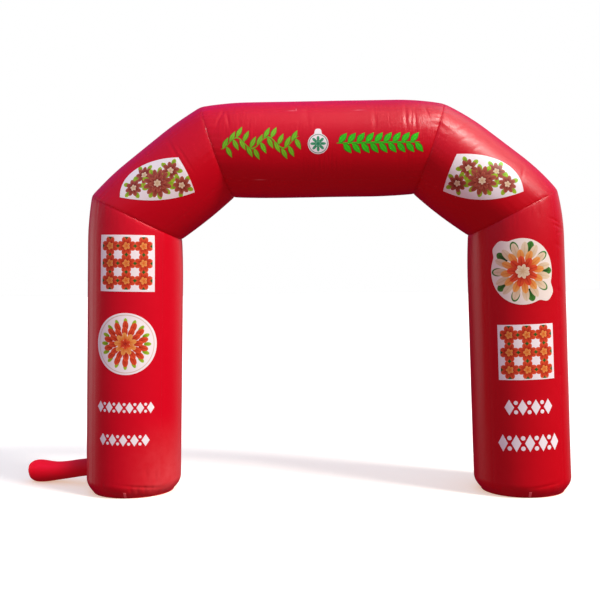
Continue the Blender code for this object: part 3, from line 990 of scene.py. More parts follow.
# %% The five tubes
for tube in TUBES.values():
    tree, sizes = tube_tree(tube)
    piece = run_tree(f"{tube.name}_cloth", tree, sizes)
    round_it = math.tau * sizes["Start radius"]
    longest = sizes["Length"]
    longest += abs(sizes["Start slope"]) * sizes["Start radius"]
    longest += abs(sizes["End slope"]) * sizes["End radius"]
    dress(piece, node=tube.name,
          area=round_it * sizes["Length"])

# %% [markdown]
# ## Seams and their stitches
# Where two tubes meet, the needle leaves a thin rolled ridge, and on each side of it a row of
# stitches. Nobody places three thousand stitches by hand. The seam is a curve that the cloth's
# own formula draws, points are spread along it at the stitch's pitch, and one small bead of
# thread is put on every point. The same tree sews the lengthwise seams and the foot hems.

# %% Thread and its material
THREAD_RED = (0.42, 0.006, 0.012, 1.0)
THREAD_LIGHT = (0.66, 0.03, 0.04, 1.0)
TWIST_HEIGHT = 0.00015


def sewing_thread(name):
    """Make polyester thread: twisted, a little shiny, uneven in tone."""
    material, tree, shader = new_material(name)
    space = place_in_space(tree)
    tone = noise(tree, space, 4.0, scale=60.0, detail=2.0)
    colour = blend(tree, THREAD_RED, THREAD_LIGHT, tone * 0.4 + 0.5)
    twist = noise(tree, space, 6.0, scale=900.0, detail=1.0) * TWIST_HEIGHT
    finish(tree, shader, colour, tone * 0.06 + 0.48, twist)
    return material


THREAD = sewing_thread("thread_red")
SEAM_CLOTH = coated_fabric("seam_red", roughness=0.38, coat=0.10, tone=-0.1)
print("thread, and the doubled cloth of a seam")

# %% Rings round a tube, and lines along it
SEAM_POINTS, LINE_POINTS = 288, 200
STITCH_SIDE = 0.011      # from the seam to its row of stitches


def curve_of(tree, mesh, place):
    """Move the points of a wire mesh, and return it as a curve."""
    moved = add(tree, "GeometryNodeSetPosition", Geometry=mesh, Position=place)
    return add(tree, "GeometryNodeMeshToCurve", Mesh=moved.outputs[0]).outputs[0]


def index_of(tree):
    """Return the number that each point of a mesh counts as, from 0."""
    return Number(tree, tree.nodes.new("GeometryNodeInputIndex").outputs[0])


def ring(tree, tube, size, end, offset, lift):
    """Return a curve round a tube, an offset away from the seam at one end."""
    circle = add(tree, "GeometryNodeMeshCircle", Vertices=SEAM_POINTS)
    index = index_of(tree)
    angle = index * (math.tau / SEAM_POINTS)
    ends = seams_at(tree, size, tube, angle)
    along = ends[0] + offset if end == "Start" else ends[1] - offset
    place = cloth_point(tree, size, tube, along, angle, ends, lift)
    return curve_of(tree, circle.outputs[0], place)


def line(tree, tube, size, degrees, lift):
    """Return a curve along a tube at one angle, from seam to seam."""
    wire = add(tree, "GeometryNodeMeshLine", Count=LINE_POINTS)
    index = index_of(tree)
    angle = index * 0.0 + math.radians(degrees)
    ends = seams_at(tree, size, tube, angle)
    inner, outer = ends[0] + STITCH_SIDE * 2.0, ends[1] - STITCH_SIDE * 2.0
    along = inner + (outer - inner) * index / (LINE_POINTS - 1.0)
    place = cloth_point(tree, size, tube, along, angle, ends, lift)
    return curve_of(tree, wire.outputs[0], place)


print("a seam is a ring of", SEAM_POINTS, "points")

# %% Stitches
PITCH, STITCH, THREAD_RADIUS = 0.009, 0.0068, 0.0007
SUNK = 0.4               # a bead's middle stands off the cloth by this share of its radius
HEM_RISE = 0.020         # from the ground to a foot's row of stitches
SEAM_DEGREES = (45.0, 135.0, 225.0, 315.0)


def joined(tree, items):
    """Join several geometries."""
    node = tree.nodes.new("GeometryNodeJoinGeometry")
    for item in items:
        tree.links.new(item, node.inputs[0])
    return node.outputs[0]


def sewn(tree, size, curve):
    """Put a bead of thread on every pitch of a curve."""
    points = add(tree, "GeometryNodeCurveToPoints", ("mode", "LENGTH"), Curve=curve,
                 Length=size["Pitch"])
    ball = add(tree, "GeometryNodeMeshUVSphere", Segments=5, Rings=4, Radius=1.0)
    thread, half = size["Thread radius"], size["Stitch"] * 0.5
    bead = add(tree, "GeometryNodeTransform", Geometry=ball.outputs[0],
               Scale=vector(tree, thread, thread, half))
    placed = add(tree, "GeometryNodeInstanceOnPoints", Points=points.outputs[0],
                 Instance=bead.outputs[0], Rotation=points.outputs["Rotation"])
    return placed.outputs[0]


def stitch_tree(tube):
    """Build the tree that sews one tube: a row at each end and one on each lengthwise seam."""
    sizes = sizes_of(tube)
    sizes.update({"Pitch": PITCH, "Stitch": STITCH, "Thread radius": THREAD_RADIUS})
    tree, _, size = new_tree(f"sew_{tube.name}", sizes)
    curves = []
    for end, name in (("Start", tube.start), ("End", tube.end)):
        offset = HEM_RISE if name.startswith("foot") else STITCH_SIDE
        curves.append(ring(tree, tube, size, end, offset, THREAD_RADIUS * SUNK))
    for degrees in SEAM_DEGREES:
        curves.append(line(tree, tube, size, degrees, THREAD_RADIUS * SUNK))
    close_tree(tree, sewn(tree, size, joined(tree, curves)), THREAD)
    return tree, sizes


for tube in TUBES.values():
    dress(run_tree(f"{tube.name}_stitches", *stitch_tree(tube)))

# %% Ridges of the four corner seams
RIDGE_RADIUS = 0.0026


def ridge_tree(name):
    """Build the tree that rolls the ridge of the seam at one corner."""
    tube = next(tube for tube in TUBES.values() if tube.start == name)
    sizes = sizes_of(tube)
    sizes["Ridge radius"] = RIDGE_RADIUS
    tree, _, size = new_tree(f"ridge_{name}", sizes)
    path = ring(tree, tube, size, "Start", 0.0, 0.0)
    section = add(tree, "GeometryNodeCurvePrimitiveCircle", Resolution=8,
                  Radius=size["Ridge radius"])
    roll = add(tree, "GeometryNodeCurveToMesh", Curve=path, Profile_Curve=section.outputs[0])
    _, depth, _ = point(tree)
    close_tree(tree, mapped(tree, roll.outputs[0], vector(tree, depth, 0.0, 0.0)), SEAM_CLOTH)
    return tree, sizes


for name in ("knee_left", "hip_left", "hip_right", "knee_right"):
    dress(run_tree(f"{name}_ridge", *ridge_tree(name)))

# %% [markdown]
# ## The discs under the feet
# A round of heavier cloth closes each leg. It lies flat on the ground, so only its edge and the
# hem above it show, but a round cut from a roll is never quite flat: slow noise lets the upper
# face rise and fall by a fraction of a millimetre.

# %% Foot discs
DISC_RINGS, DISC_COLUMNS = 24, 144
DISC_WAVE, DISC_EDGE = 0.0003, 0.0012
BASE_CLOTH = coated_fabric("base_fabric_red", roughness=0.55, coat=0.0, tone=-0.25)


def disc_tree():
    """Build the tree that makes a foot disc with a soft upper face."""
    sizes = {"Radius": 0.38, "Thickness": 0.002, "Middle X": 0.0, "Middle Y": 0.0, "Seed": 1.0}
    tree, _, size = new_tree("foot_disc", sizes)
    body = add(tree, "GeometryNodeMeshCylinder", Vertices=DISC_COLUMNS, Side_Segments=2,
               Fill_Segments=DISC_RINGS, Radius=size["Radius"], Depth=size["Thickness"])
    x, y, z = point(tree)
    flat = vector(tree, x, y, 0.0)
    upper = step_up(z / size["Thickness"], 0.4, 0.5)
    sink = (noise(tree, flat, size["Seed"], scale=12.0) * 0.5 + 0.5) * upper * DISC_WAVE
    pull = 1.0 - step_up(size_of(z) / size["Thickness"], 0.3, 0.5) * DISC_EDGE
    place = vector(
        tree, x * pull + size["Middle X"], y * pull + size["Middle Y"],
        z + size["Thickness"] * 0.5 - sink,
    )
    sheet = mapped(tree, body.outputs[0], flat)
    moved = add(tree, "GeometryNodeSetPosition", Geometry=sheet, Position=place)
    close_tree(tree, moved.outputs[0], BASE_CLOTH)
    return tree


DISC_TREE = disc_tree()
print("one tree makes both discs")

# %% Both discs
for side, seed in (("left", 1.0), ("right", 2.0)):
    low, high = [Vector(corner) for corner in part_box(f"base_disc_{side}")]
    radius = (high.x - low.x) / 2.0
    place = middle(f"base_disc_{side}")
    sizes = {"Radius": radius, "Thickness": high.z - low.z, "Middle X": place.x,
             "Middle Y": place.y, "Seed": seed}
    piece = run_tree(f"foot_{side}_disc", DISC_TREE, sizes)
    dress(piece, node=f"base_disc_{side}",
          area=math.pi * radius ** 2)

# %% [markdown]
# ## The air sleeve
# A blower is tied into this tube while the arch stands. Left alone it keeps a little air: thin
# where it leaves the leg, fuller towards its closed end, and flat where it touches the ground.
# Its path and its thickness come from a short table, which a smooth curve runs through.

# %% The sleeve's path
Station = namedtuple("Station", "out back height radius")
SLEEVE = (
    Station(0.300, 0.190, 0.180, 0.082),
    Station(0.440, 0.221, 0.170, 0.082),
    Station(0.570, 0.250, 0.153, 0.083),
    Station(0.690, 0.277, 0.131, 0.084),
    Station(0.800, 0.302, 0.114, 0.087),
    Station(0.890, 0.322, 0.106, 0.096),
    Station(0.970, 0.339, 0.104, 0.106),
    Station(1.040, 0.353, 0.104, 0.106),
    Station(1.088, 0.363, 0.103, 0.090),
    Station(1.113, 0.368, 0.100, 0.058),
    Station(1.122, 0.370, 0.098, 0.001),
)


def sleeve_path():
    """Return a curve through the stations, whose radius is the sleeve's."""
    curve = bpy.data.curves.new("sleeve_path", "CURVE")
    curve.dimensions = "3D"
    spline = curve.splines.new("POLY")
    spline.points.add(len(SLEEVE) - 1)
    foot = CORNERS["foot_left"]
    for mark, station in zip(spline.points, SLEEVE):
        place = ARCH + Vector((foot.x - station.out, station.back, station.height))
        mark.co = (*place, 1.0)
        mark.radius = station.radius
    return curve


print(len(SLEEVE), "stations, from inside the leg to the closed end")

# %% The sleeve's cloth
SLEEVE_RINGS, SLEEVE_COLUMNS = 150, 96
SLEEVE_WALL = 0.0015
SLEEVE_GIRTH = 0.09      # the radius at which the sleeve's map is measured
TIE_PLACE, TIE_WIDTH = 0.86, 0.10
SLEEVE_WELD = 0.0002
SLEEVE_FLAT, SLEEVE_AREA = (0.58, 0.88), 0.49


def sleeve_tree():
    """Build the tree that sweeps the sleeve along its path."""
    sizes = {"Rings": SLEEVE_RINGS, "Columns": SLEEVE_COLUMNS, "Wrinkle": 0.004, "Seed": 6.0}
    tree, path, size = new_tree("air_sleeve", sizes)
    smooth = add(tree, "GeometryNodeCurveSplineType", ("spline_type", "CATMULL_ROM"), Curve=path)
    even = add(tree, "GeometryNodeResampleCurve", Curve=smooth.outputs[0], Count=size["Rings"])
    where = tree.nodes.new("GeometryNodeSplineParameter")
    kept = add(tree, "GeometryNodeCaptureAttribute", Geometry=even.outputs[0])
    kept.capture_items.new("FLOAT", "Length")
    tree.links.new(where.outputs["Length"], kept.inputs["Length"])
    section = add(tree, "GeometryNodeCurvePrimitiveCircle", Resolution=size["Columns"], Radius=1.0)
    turned = add(tree, "GeometryNodeCaptureAttribute", Geometry=section.outputs[0])
    turned.capture_items.new("FLOAT", "Turn")
    tree.links.new(where.outputs["Factor"], turned.inputs["Turn"])
    radius = tree.nodes.new("GeometryNodeInputRadius")
    swept = add(tree, "GeometryNodeCurveToMesh", Curve=kept.outputs[0],
                Profile_Curve=turned.outputs[0], Scale=radius.outputs[0])
    along = Number(tree, kept.outputs["Length"])
    turn = Number(tree, turned.outputs["Turn"]) * math.tau
    sheet = mapped(tree, swept.outputs[0], vector(tree, turn * SLEEVE_GIRTH, along, 0.0))
    tied = hump(along - TIE_PLACE, TIE_WIDTH)
    folds = noise(tree, vector(tree, cos(turn) * 2.2, sin(turn) * 2.2, along * 2.5),
                  size["Seed"], scale=1.4) * (tied * 0.8 + 0.35) * size["Wrinkle"]
    normal = parts_of(tree, tree.nodes.new("GeometryNodeInputNormal").outputs[0])
    moved = [value + part * folds for value, part in zip(point(tree), normal)]
    settled = vector(tree, moved[0], moved[1], larger(moved[2], SLEEVE_WALL))
    laid = add(tree, "GeometryNodeSetPosition", Geometry=sheet, Position=settled)
    whole = add(tree, "GeometryNodeMergeByDistance", Geometry=laid.outputs[0],
                Distance=SLEEVE_WELD)
    close_tree(tree, whole.outputs[0], SLEEVE_CLOTH)
    return tree, sizes


piece = run_tree("air_sleeve_cloth", *sleeve_tree(), data=sleeve_path())
add_thickness(piece, SLEEVE_WALL)
dress(piece, node="inlet_sleeve", area=SLEEVE_AREA)
lit = bpy.data.collections.new("lit_by_sleeve_lamp")
lit.objects.link(piece)
sleeve_spot.light_linking.receiver_collection = lit

# %% [markdown]
# ## Prints
# A print is a thin sheet stuck on the cloth. It is drawn flat, as a rectangle, an oval or a
# three-sided sail of fine cells, and the cloth's formula bends it over the tube with every
# fold under it. What is printed is a material: rings of petals and leaves, each a small sum of
# distance and angle, so it stays sharp at any size. The designs are plain garden flowers in
# the colours that such arches carry.

# %% Inks
PAPER = (0.97, 0.94, 0.92, 1.0)
# The second paper colour is painted shade, laid towards a print's lower edge.
PAPER_PAINTED_SHADE = (0.88, 0.85, 0.86, 1.0)
RED_BROWN, TERRACOTTA = (0.16, 0.012, 0.008, 1.0), (0.50, 0.12, 0.07, 1.0)
BRICK, ORANGE_RED = (0.38, 0.012, 0.005, 1.0), (0.85, 0.10, 0.03, 1.0)
ORANGE, AMBER = (0.66, 0.12, 0.015, 1.0), (0.85, 0.42, 0.10, 1.0)
CREAM, SAND = (0.84, 0.72, 0.50, 1.0), (0.60, 0.42, 0.22, 1.0)
LIME_DARK, LIME = (0.10, 0.26, 0.01, 1.0), (0.45, 0.68, 0.03, 1.0)
PINE, LEAF = (0.010, 0.045, 0.012, 1.0), (0.06, 0.26, 0.03, 1.0)
EMERALD, MINT = (0.01, 0.22, 0.08, 1.0), (0.10, 0.45, 0.25, 1.0)
print("inks in pairs, dark at a petal's root and light at its tip")

# %% Flowers as rings of petals
Ring = namedtuple("Ring", "count inner outer width turn dark light")
BIG_FLOWER = (
    Ring(9, 0.085, 0.170, 0.052, 0.5, LIME_DARK, LIME),
    Ring(12, 0.050, 0.150, 0.052, 0.0, RED_BROWN, TERRACOTTA),
    Ring(8, 0.020, 0.092, 0.045, 0.3, RED_BROWN, TERRACOTTA),
    Ring(6, 0.000, 0.040, 0.026, 0.0, SAND, CREAM),
)
SIDE_FLOWER = (
    Ring(5, 0.050, 0.112, 0.042, 0.25, LIME_DARK, LIME),
    Ring(8, 0.015, 0.082, 0.042, 0.0, RED_BROWN, TERRACOTTA),
    Ring(5, 0.000, 0.030, 0.022, 0.0, SAND, CREAM),
)
DAHLIA = (
    Ring(16, 0.165, 0.236, 0.036, 0.5, LIME_DARK, LIME),
    Ring(14, 0.120, 0.212, 0.056, 0.0, BRICK, ORANGE_RED),
    Ring(12, 0.070, 0.160, 0.056, 0.4, BRICK, ORANGE_RED),
    Ring(9, 0.030, 0.105, 0.048, 0.1, ORANGE, AMBER),
    Ring(6, 0.000, 0.050, 0.034, 0.0, BRICK, ORANGE_RED),
)
DAISY = (
    Ring(10, 0.150, 0.262, 0.070, 0.5, PINE, LEAF),
    Ring(15, 0.120, 0.248, 0.060, 0.0, SAND, CREAM),
    Ring(12, 0.080, 0.185, 0.058, 0.3, ORANGE, AMBER),
    Ring(9, 0.040, 0.130, 0.058, 0.1, BRICK, ORANGE_RED),
    Ring(7, 0.000, 0.062, 0.036, 0.0, SAND, CREAM),
)
TILE_FLOWER = (
    Ring(4, 0.040, 0.118, 0.040, 0.5, PINE, LEAF),
    Ring(8, 0.020, 0.084, 0.044, 0.0, BRICK, ORANGE_RED),
    Ring(5, 0.000, 0.036, 0.026, 0.0, ORANGE, AMBER),
)
BADGE = (
    Ring(8, 0.022, 0.070, 0.026, 0.5, EMERALD, MINT),
    Ring(8, 0.000, 0.034, 0.014, 0.0, EMERALD, MINT),
)
print("the widest flower is", 2.0 * max(row.outer for row in DAISY), "m across")

# %% Painting with petals
PETAL_EDGE = 0.10        # how soft a petal's edge is, as a share of the petal


def distance(x, y):
    """Return how far a place lies from the middle."""
    return root(square(x) + square(y))


def petals(x, y, ring_row):
    """Return 1 inside a ring of petals, and the place on the petal from root to tip."""
    part = math.tau / ring_row.count
    reach = distance(x, y)
    swing = (rest_of(turn_of(y, x) / part + ring_row.turn + 8.0) - 0.5) * part
    half = (ring_row.outer - ring_row.inner) / 2.0
    tip = (reach * cos(swing) - (ring_row.inner + half)) / half
    side = reach * sin(swing) / (ring_row.width / 2.0)
    inside = step_up(1.0 - square(tip) - square(side), 0.0, PETAL_EDGE)
    return inside, tip * 0.5 + 0.5, side


def flower(tree, colour, x, y, rows, mottle):
    """Paint rings of petals over a colour, the outermost first."""
    for row in rows:
        inside, tip, side = petals(x, y, row)
        shade = tip * 0.8 + mottle * 0.35 - hump(side, 0.16) * 0.35 + 0.15
        tone = blend(tree, row.dark, row.light, clamped(shade))
        colour = blend(tree, colour, tone, inside)
    return colour


def printed(name, draw, span):
    """Make printed vinyl: draw(tree, x, y, mottle, paper) paints it, and span is its size."""
    material, tree, shader = new_material(name)
    x, y = place_on_cloth(tree)
    space = place_in_space(tree)
    mottle = noise(tree, space, 3.0, scale=26.0, detail=4.0)
    # Painted shade: the paper turns greyer towards the print's lower edge, with random blotches.
    shade = noise(tree, space, 9.0, scale=3.0, detail=2.0) * 0.25 - y / span * 0.7 + 0.35
    paper = blend(tree, PAPER, PAPER_PAINTED_SHADE, clamped(shade))
    height = weave(x, y, WEAVE_PITCH, WEAVE_HEIGHT * 0.5) + crinkle(tree, space)
    finish(tree, shader, draw(tree, x, y, mottle, paper), mottle * 0.04 + 0.36, height)
    shader.inputs["Specular IOR Level"].default_value = SPECULAR
    return material


print("a design paints rings of petals over the paper, the outermost first")

# %% The spray of five flowers
SPRAY_MIDDLE, SPRAY_SIZE = (-0.002, -0.030), 0.88
SPRAY = ((-0.228, -0.062, 0.1), (-0.130, 0.052, 0.5), (0.118, 0.082, 0.3), (0.216, -0.052, 0.6))


def draw_spray(tree, x, y, mottle, paper, way):
    """One large flower among four small ones, on leaves."""
    colour = paper
    for spot_x, spot_y, turn in SPRAY:
        near_x, near_y = x * way - spot_x, y - spot_y
        turned = [row._replace(turn=row.turn + turn) for row in SIDE_FLOWER]
        colour = flower(tree, colour, near_x, near_y, turned, mottle)
    middle_x = (x * way - SPRAY_MIDDLE[0]) / SPRAY_SIZE
    middle_y = (y - SPRAY_MIDDLE[1]) / SPRAY_SIZE
    return flower(tree, colour, middle_x, middle_y, BIG_FLOWER, mottle)


def draw_spray_left(tree, x, y, mottle, paper):
    """The spray on the left shoulder."""
    return draw_spray(tree, x, y, mottle, paper, 1.0)


def draw_spray_right(tree, x, y, mottle, paper):
    """The same spray, turned round, on the right shoulder."""
    return draw_spray(tree, x, y, mottle, paper, -1.0)


print("four small flowers round a large one")

# %% The other designs
TILE, TILE_FRAME = 0.156, (0.236, 0.240)
DAHLIA_LINE, DAHLIA_LINE_WIDTH = 0.262, 0.004
DAISY_SIZE = 1.07
BADGE_LINE, BADGE_LINE_WIDTH = 0.082, 0.0035


def draw_tiles(tree, x, y, mottle, paper):
    """Three flowers by three, in a plain grid, with a paper margin."""
    near_x, near_y = [(rest_of(side / TILE + 4.5) - 0.5) * TILE for side in (x, y)]
    framed = step_up(larger(size_of(x), size_of(y)), *TILE_FRAME)
    colour = flower(tree, paper, near_x, near_y, TILE_FLOWER, mottle)
    return blend(tree, colour, paper, framed)


def draw_dahlia(tree, x, y, mottle, paper):
    """One wide flower with a border line."""
    rim = distance(x, y)
    colour = blend(tree, paper, SAND, hump(rim - DAHLIA_LINE, DAHLIA_LINE_WIDTH) * 0.7)
    return flower(tree, colour, x, y, DAHLIA, mottle)


def draw_daisy(tree, x, y, mottle, paper):
    """One wide pale flower on cream."""
    ground = blend(tree, paper, CREAM, 0.45)
    return flower(tree, ground, x / DAISY_SIZE, y / DAISY_SIZE, DAISY, mottle)


def draw_badge(tree, x, y, mottle, paper):
    """A small green rosette in a ring."""
    rim = distance(x, y)
    colour = blend(tree, paper, EMERALD, hump(rim - BADGE_LINE, BADGE_LINE_WIDTH))
    return flower(tree, colour, x, y, BADGE, mottle)


SAIL_PRINT_LEFT = printed("print_spray_left", draw_spray_left, 0.41)
SAIL_PRINT_RIGHT = printed("print_spray_right", draw_spray_right, 0.41)
TILE_PRINT = printed("print_flowers_tiled", draw_tiles, 0.52)
DAHLIA_PRINT = printed("print_dahlia", draw_dahlia, 0.57)
DAISY_PRINT = printed("print_daisy", draw_daisy, 0.59)
BADGE_PRINT = printed("print_badge", draw_badge, 0.20)
print("six printed designs of petals and leaves")

# %% Outlines of the panels
Upright = namedtuple("Upright", "across height")
ALONG_UP = Upright((1.0, 0.0), (0.0, 1.0))       # left leg: the tube runs up
ALONG_DOWN = Upright((-1.0, 0.0), (0.0, -1.0))   # right leg: the tube runs down
ALONG_RIGHT = Upright((0.0, -1.0), (1.0, 0.0))   # beam and shoulders: the tube runs right
Lug = namedtuple("Lug", "turn half out")         # pushes an oval's edge out, angles in degrees
Side = namedtuple("Side", "corner pull")         # a curved side, in metres to the right and up
BOX = "box"
OVAL = ()
KNOB = (Lug(180.0, 17.0, 0.48),)
HANDLES = (Lug(-45.0, 15.0, 0.18), Lug(140.0, 15.0, 0.23))
SAIL_LEFT = (
    Side((-0.359, -0.141), (-0.395, 0.204)),
    Side((0.189, 0.200), (0.288, 0.049)),
    Side((0.332, -0.120), (-0.015, -0.235)),
)
SAIL_RIGHT = (
    Side((-0.346, -0.130), (-0.300, 0.043)),
    Side((-0.218, 0.209), (0.360, 0.230)),
    Side((0.376, -0.122), (0.020, -0.275)),
)
print("a box, and ovals with", len(KNOB), "or", len(HANDLES), "lugs, and two sails")

# %% The seven panels
# A panel's middle lies at a distance along its tube and an angle round it. Its roll turns it
# on the cloth: the shoulders slope by the level angle, and their prints hang level.
LEVEL = math.degrees(math.atan2(HIP_Z - KNEE_Z, KNEE_X - HIP_X))
Panel = namedtuple("Panel", "node tube along angle across height roll outline way material")
PANELS = (
    Panel("print_square_left", "leg_left", 2.156, 91.1, 0.520, 0.512, 0.0, BOX, ALONG_UP,
          TILE_PRINT),
    Panel("print_round_left", "leg_left", 1.426, 90.7, 0.576, 0.562, 0.0, OVAL, ALONG_UP,
          DAHLIA_PRINT),
    Panel("print_oval_left", "shoulder_left", 0.420, 82.0, 0.390, 0.691, -LEVEL, SAIL_LEFT,
          ALONG_RIGHT, SAIL_PRINT_LEFT),
    Panel("medallion", "beam", 0.957, 90.2, 0.184, 0.184, 0.0, KNOB, ALONG_RIGHT, BADGE_PRINT),
    Panel("print_oval_right", "shoulder_right", 0.529, 89.6, 0.405, 0.722, LEVEL, SAIL_RIGHT,
          ALONG_RIGHT, SAIL_PRINT_RIGHT),
    Panel("print_round_right", "leg_right", 0.553, 92.6, 0.570, 0.590, 0.0, HANDLES, ALONG_DOWN,
          DAISY_PRINT),
    Panel("print_square_right", "leg_right", 1.272, 90.4, 0.517, 0.494, 0.0, BOX, ALONG_DOWN,
          TILE_PRINT),
)
print(", ".join(panel.node for panel in PANELS))

# %% A flat sheet of fine cells
CELL = 0.010
OVAL_RINGS, OVAL_COLUMNS = 26, 120


def edge_of(panel, share):
    """Return the place on a panel's edge at a share of the way round, across and along."""
    if panel.outline in (SAIL_LEFT, SAIL_RIGHT):
        index, part = divmod((share % 1.0) * len(panel.outline), 1.0)
        side, after = [panel.outline[(int(index) + step) % 3] for step in (0, 1)]
        first, pull, last = [Vector(end) for end in (side.corner, side.pull, after.corner)]
        place = first * (1.0 - part) ** 2 + pull * 2.0 * part * (1.0 - part) + last * part ** 2
        return -place.y, place.x
    turn = share * 360.0
    reach = 0.5
    for lug in panel.outline:
        away = (turn - lug.turn + 180.0) % 360.0 - 180.0
        reach += 0.5 * lug.out * math.exp(-(away / lug.half) ** 4)
    turn = math.radians(turn)
    return panel.across * reach * math.cos(turn), panel.height * reach * math.sin(turn)


def flat_sheet(panel):
    """Return a flat sheet of fine cells. Its UV map is upright and counts metres."""
    bm = bmesh.new()
    if panel.outline == BOX:
        columns, rows = [max(6, round(side / CELL)) for side in (panel.across, panel.height)]
        bmesh.ops.create_grid(bm, x_segments=columns, y_segments=rows, size=0.5)
        for vertex in bm.verts:
            vertex.co = (vertex.co.x * panel.across, vertex.co.y * panel.height, 0.0)
    else:
        bmesh.ops.create_grid(bm, x_segments=OVAL_COLUMNS, y_segments=OVAL_RINGS, size=0.5)
        for vertex in bm.verts:
            across, height = edge_of(panel, 0.5 - vertex.co.x)
            reach = vertex.co.y + 0.5
            vertex.co = (across * reach, height * reach, 0.0)
        bmesh.ops.remove_doubles(bm, verts=bm.verts[:], dist=0.00001)
    bmesh.ops.recalc_face_normals(bm, faces=bm.faces[:])
    if bm.faces[:][0].normal.z < 0.0:
        bmesh.ops.reverse_faces(bm, faces=bm.faces[:])
    layer = bm.loops.layers.uv.new("cloth")
    for face in bm.faces:
        for loop in face.loops:
            x, y, _ = loop.vert.co
            loop[layer].uv = (x * panel.way.across[0] + y * panel.way.height[0],
                              x * panel.way.across[1] + y * panel.way.height[1])
    mesh = bpy.data.meshes.new(panel.node)
    bm.to_mesh(mesh)
    bm.free()
    return mesh


def flat_area(panel):
    """Return the area of a panel before it is laid, by the triangles from its middle."""
    if panel.outline == BOX:
        return panel.across * panel.height
    edge = [edge_of(panel, index / OVAL_COLUMNS) for index in range(OVAL_COLUMNS + 1)]
    pairs = zip(edge, edge[1:])
    return abs(sum(one[0] * two[1] - one[1] * two[0] for one, two in pairs)) / 2.0


print("cells", CELL * 1000.0, "mm wide")

# %% Laying a sheet on its tube
PRINT_THICK = 0.0010
PRINT_LIFT = 0.0007


def bent(tree, size, tube, geometry, across, height, lift):
    """Bend flat geometry over a tube, round a place given by an angle and a distance along."""
    turn = size["Roll"]
    flat_across = across * cos(turn) - height * sin(turn)
    flat_along = across * sin(turn) + height * cos(turn)
    angle = size["Angle"] + flat_across / ((size["Start radius"] + size["End radius"]) * 0.5)
    along = size["Along"] + flat_along
    ends = seams_at(tree, size, tube, angle)
    place = cloth_point(tree, size, tube, along, angle, ends, lift)
    return add(tree, "GeometryNodeSetPosition", Geometry=geometry, Position=place).outputs[0]


def panel_tree(panel):
    """Build the tree that lays one print on its tube."""
    tube = TUBES[panel.tube]
    sizes = sizes_of(tube)
    sizes.update({"Angle": math.radians(panel.angle), "Along": panel.along,
                  "Roll": math.radians(panel.roll), "Lift": PRINT_LIFT})
    tree, sheet, size = new_tree(f"lay_{panel.node}", sizes)
    across, height, _ = point(tree)
    close_tree(tree, bent(tree, size, tube, sheet, across, height, size["Lift"]), panel.material)
    return tree, sizes


for panel in PANELS:
    piece = run_tree(f"{panel.node}_vinyl", *panel_tree(panel), data=flat_sheet(panel))
    add_thickness(piece, PRINT_THICK)
    dress(piece, node=panel.node,
          area=flat_area(panel))

# %% [markdown]
# ## Ornaments in place of words
# Arches like this carry words cut from vinyl. Here their places hold plain ornaments of the
# same colours and sizes: rows of lozenges and dots on the legs, and two garlands of leaves on
# the beam. Each is a row of copies along a line, which is what Geometry Nodes do best. The row
# is made flat, and then bent over its tube.

# %% Cut vinyl
WHITE_FILM, WHITE_FILM_DULL = (0.95, 0.92, 0.93, 1.0), (0.82, 0.78, 0.80, 1.0)
GREEN_FILM, GREEN_FILM_DULL = (0.04, 0.68, 0.01, 1.0), (0.02, 0.42, 0.005, 1.0)
OLIVE_FILM, OLIVE_FILM_DULL = (0.24, 0.62, 0.02, 1.0), (0.09, 0.52, 0.01, 1.0)
GREEN_LINE, OLIVE_LINE = (0.03, 0.16, 0.01, 1.0), (0.05, 0.14, 0.01, 1.0)
LEAF_EDGE, VEIN_WIDTH, VEIN_SHARE = (0.34, 0.42), 0.035, 0.6     # in shares of a leaf's breadth


def film(name, fresh, dull, edge=None):
    """Make cut vinyl film, a little dulled where it was rubbed. Leaves have a darker edge."""
    material, tree, shader = new_material(name)
    space = place_in_space(tree)
    worn = noise(tree, space, 7.0, scale=9.0, detail=4.0)
    colour = blend(tree, fresh, dull, clamped(worn * 0.7 + 0.25))
    if edge:
        _, side = place_on_cloth(tree)
        colour = blend(tree, colour, edge, step_up(size_of(side), *LEAF_EDGE))
        colour = blend(tree, colour, edge, hump(side, VEIN_WIDTH) * VEIN_SHARE)
    finish(tree, shader, colour, worn * 0.06 + 0.38, crinkle(tree, space))
    shader.inputs["Specular IOR Level"].default_value = SPECULAR
    return material


WHITE_VINYL = film("film_white", WHITE_FILM, WHITE_FILM_DULL)
GREEN_VINYL = film("film_green", GREEN_FILM, GREEN_FILM_DULL, GREEN_LINE)
OLIVE_VINYL = film("film_olive", OLIVE_FILM, OLIVE_FILM_DULL, OLIVE_LINE)
print("three colours of film")

# %% Rows of lozenges and dots on the legs
FILM_THICK = 0.0004
FILM_LIFT = 0.0008
LOZENGE_WIDTH, DOT_RADIUS, DOT_RISE = 0.74, 0.13, 0.30   # shares of the pace and the height
Row = namedtuple("Row", "name tube along angle width height lozenges")
ROWS = (
    Row("band_left_upper", "leg_left", 0.845, 89.9, 0.580, 0.105, 6),
    Row("band_left_lower", "leg_left", 0.548, 88.9, 0.510, 0.110, 5),
    Row("band_right_upper", "leg_right", 1.765, 89.8, 0.470, 0.140, 4),
    Row("band_right_lower", "leg_right", 2.088, 90.2, 0.600, 0.155, 5),
)


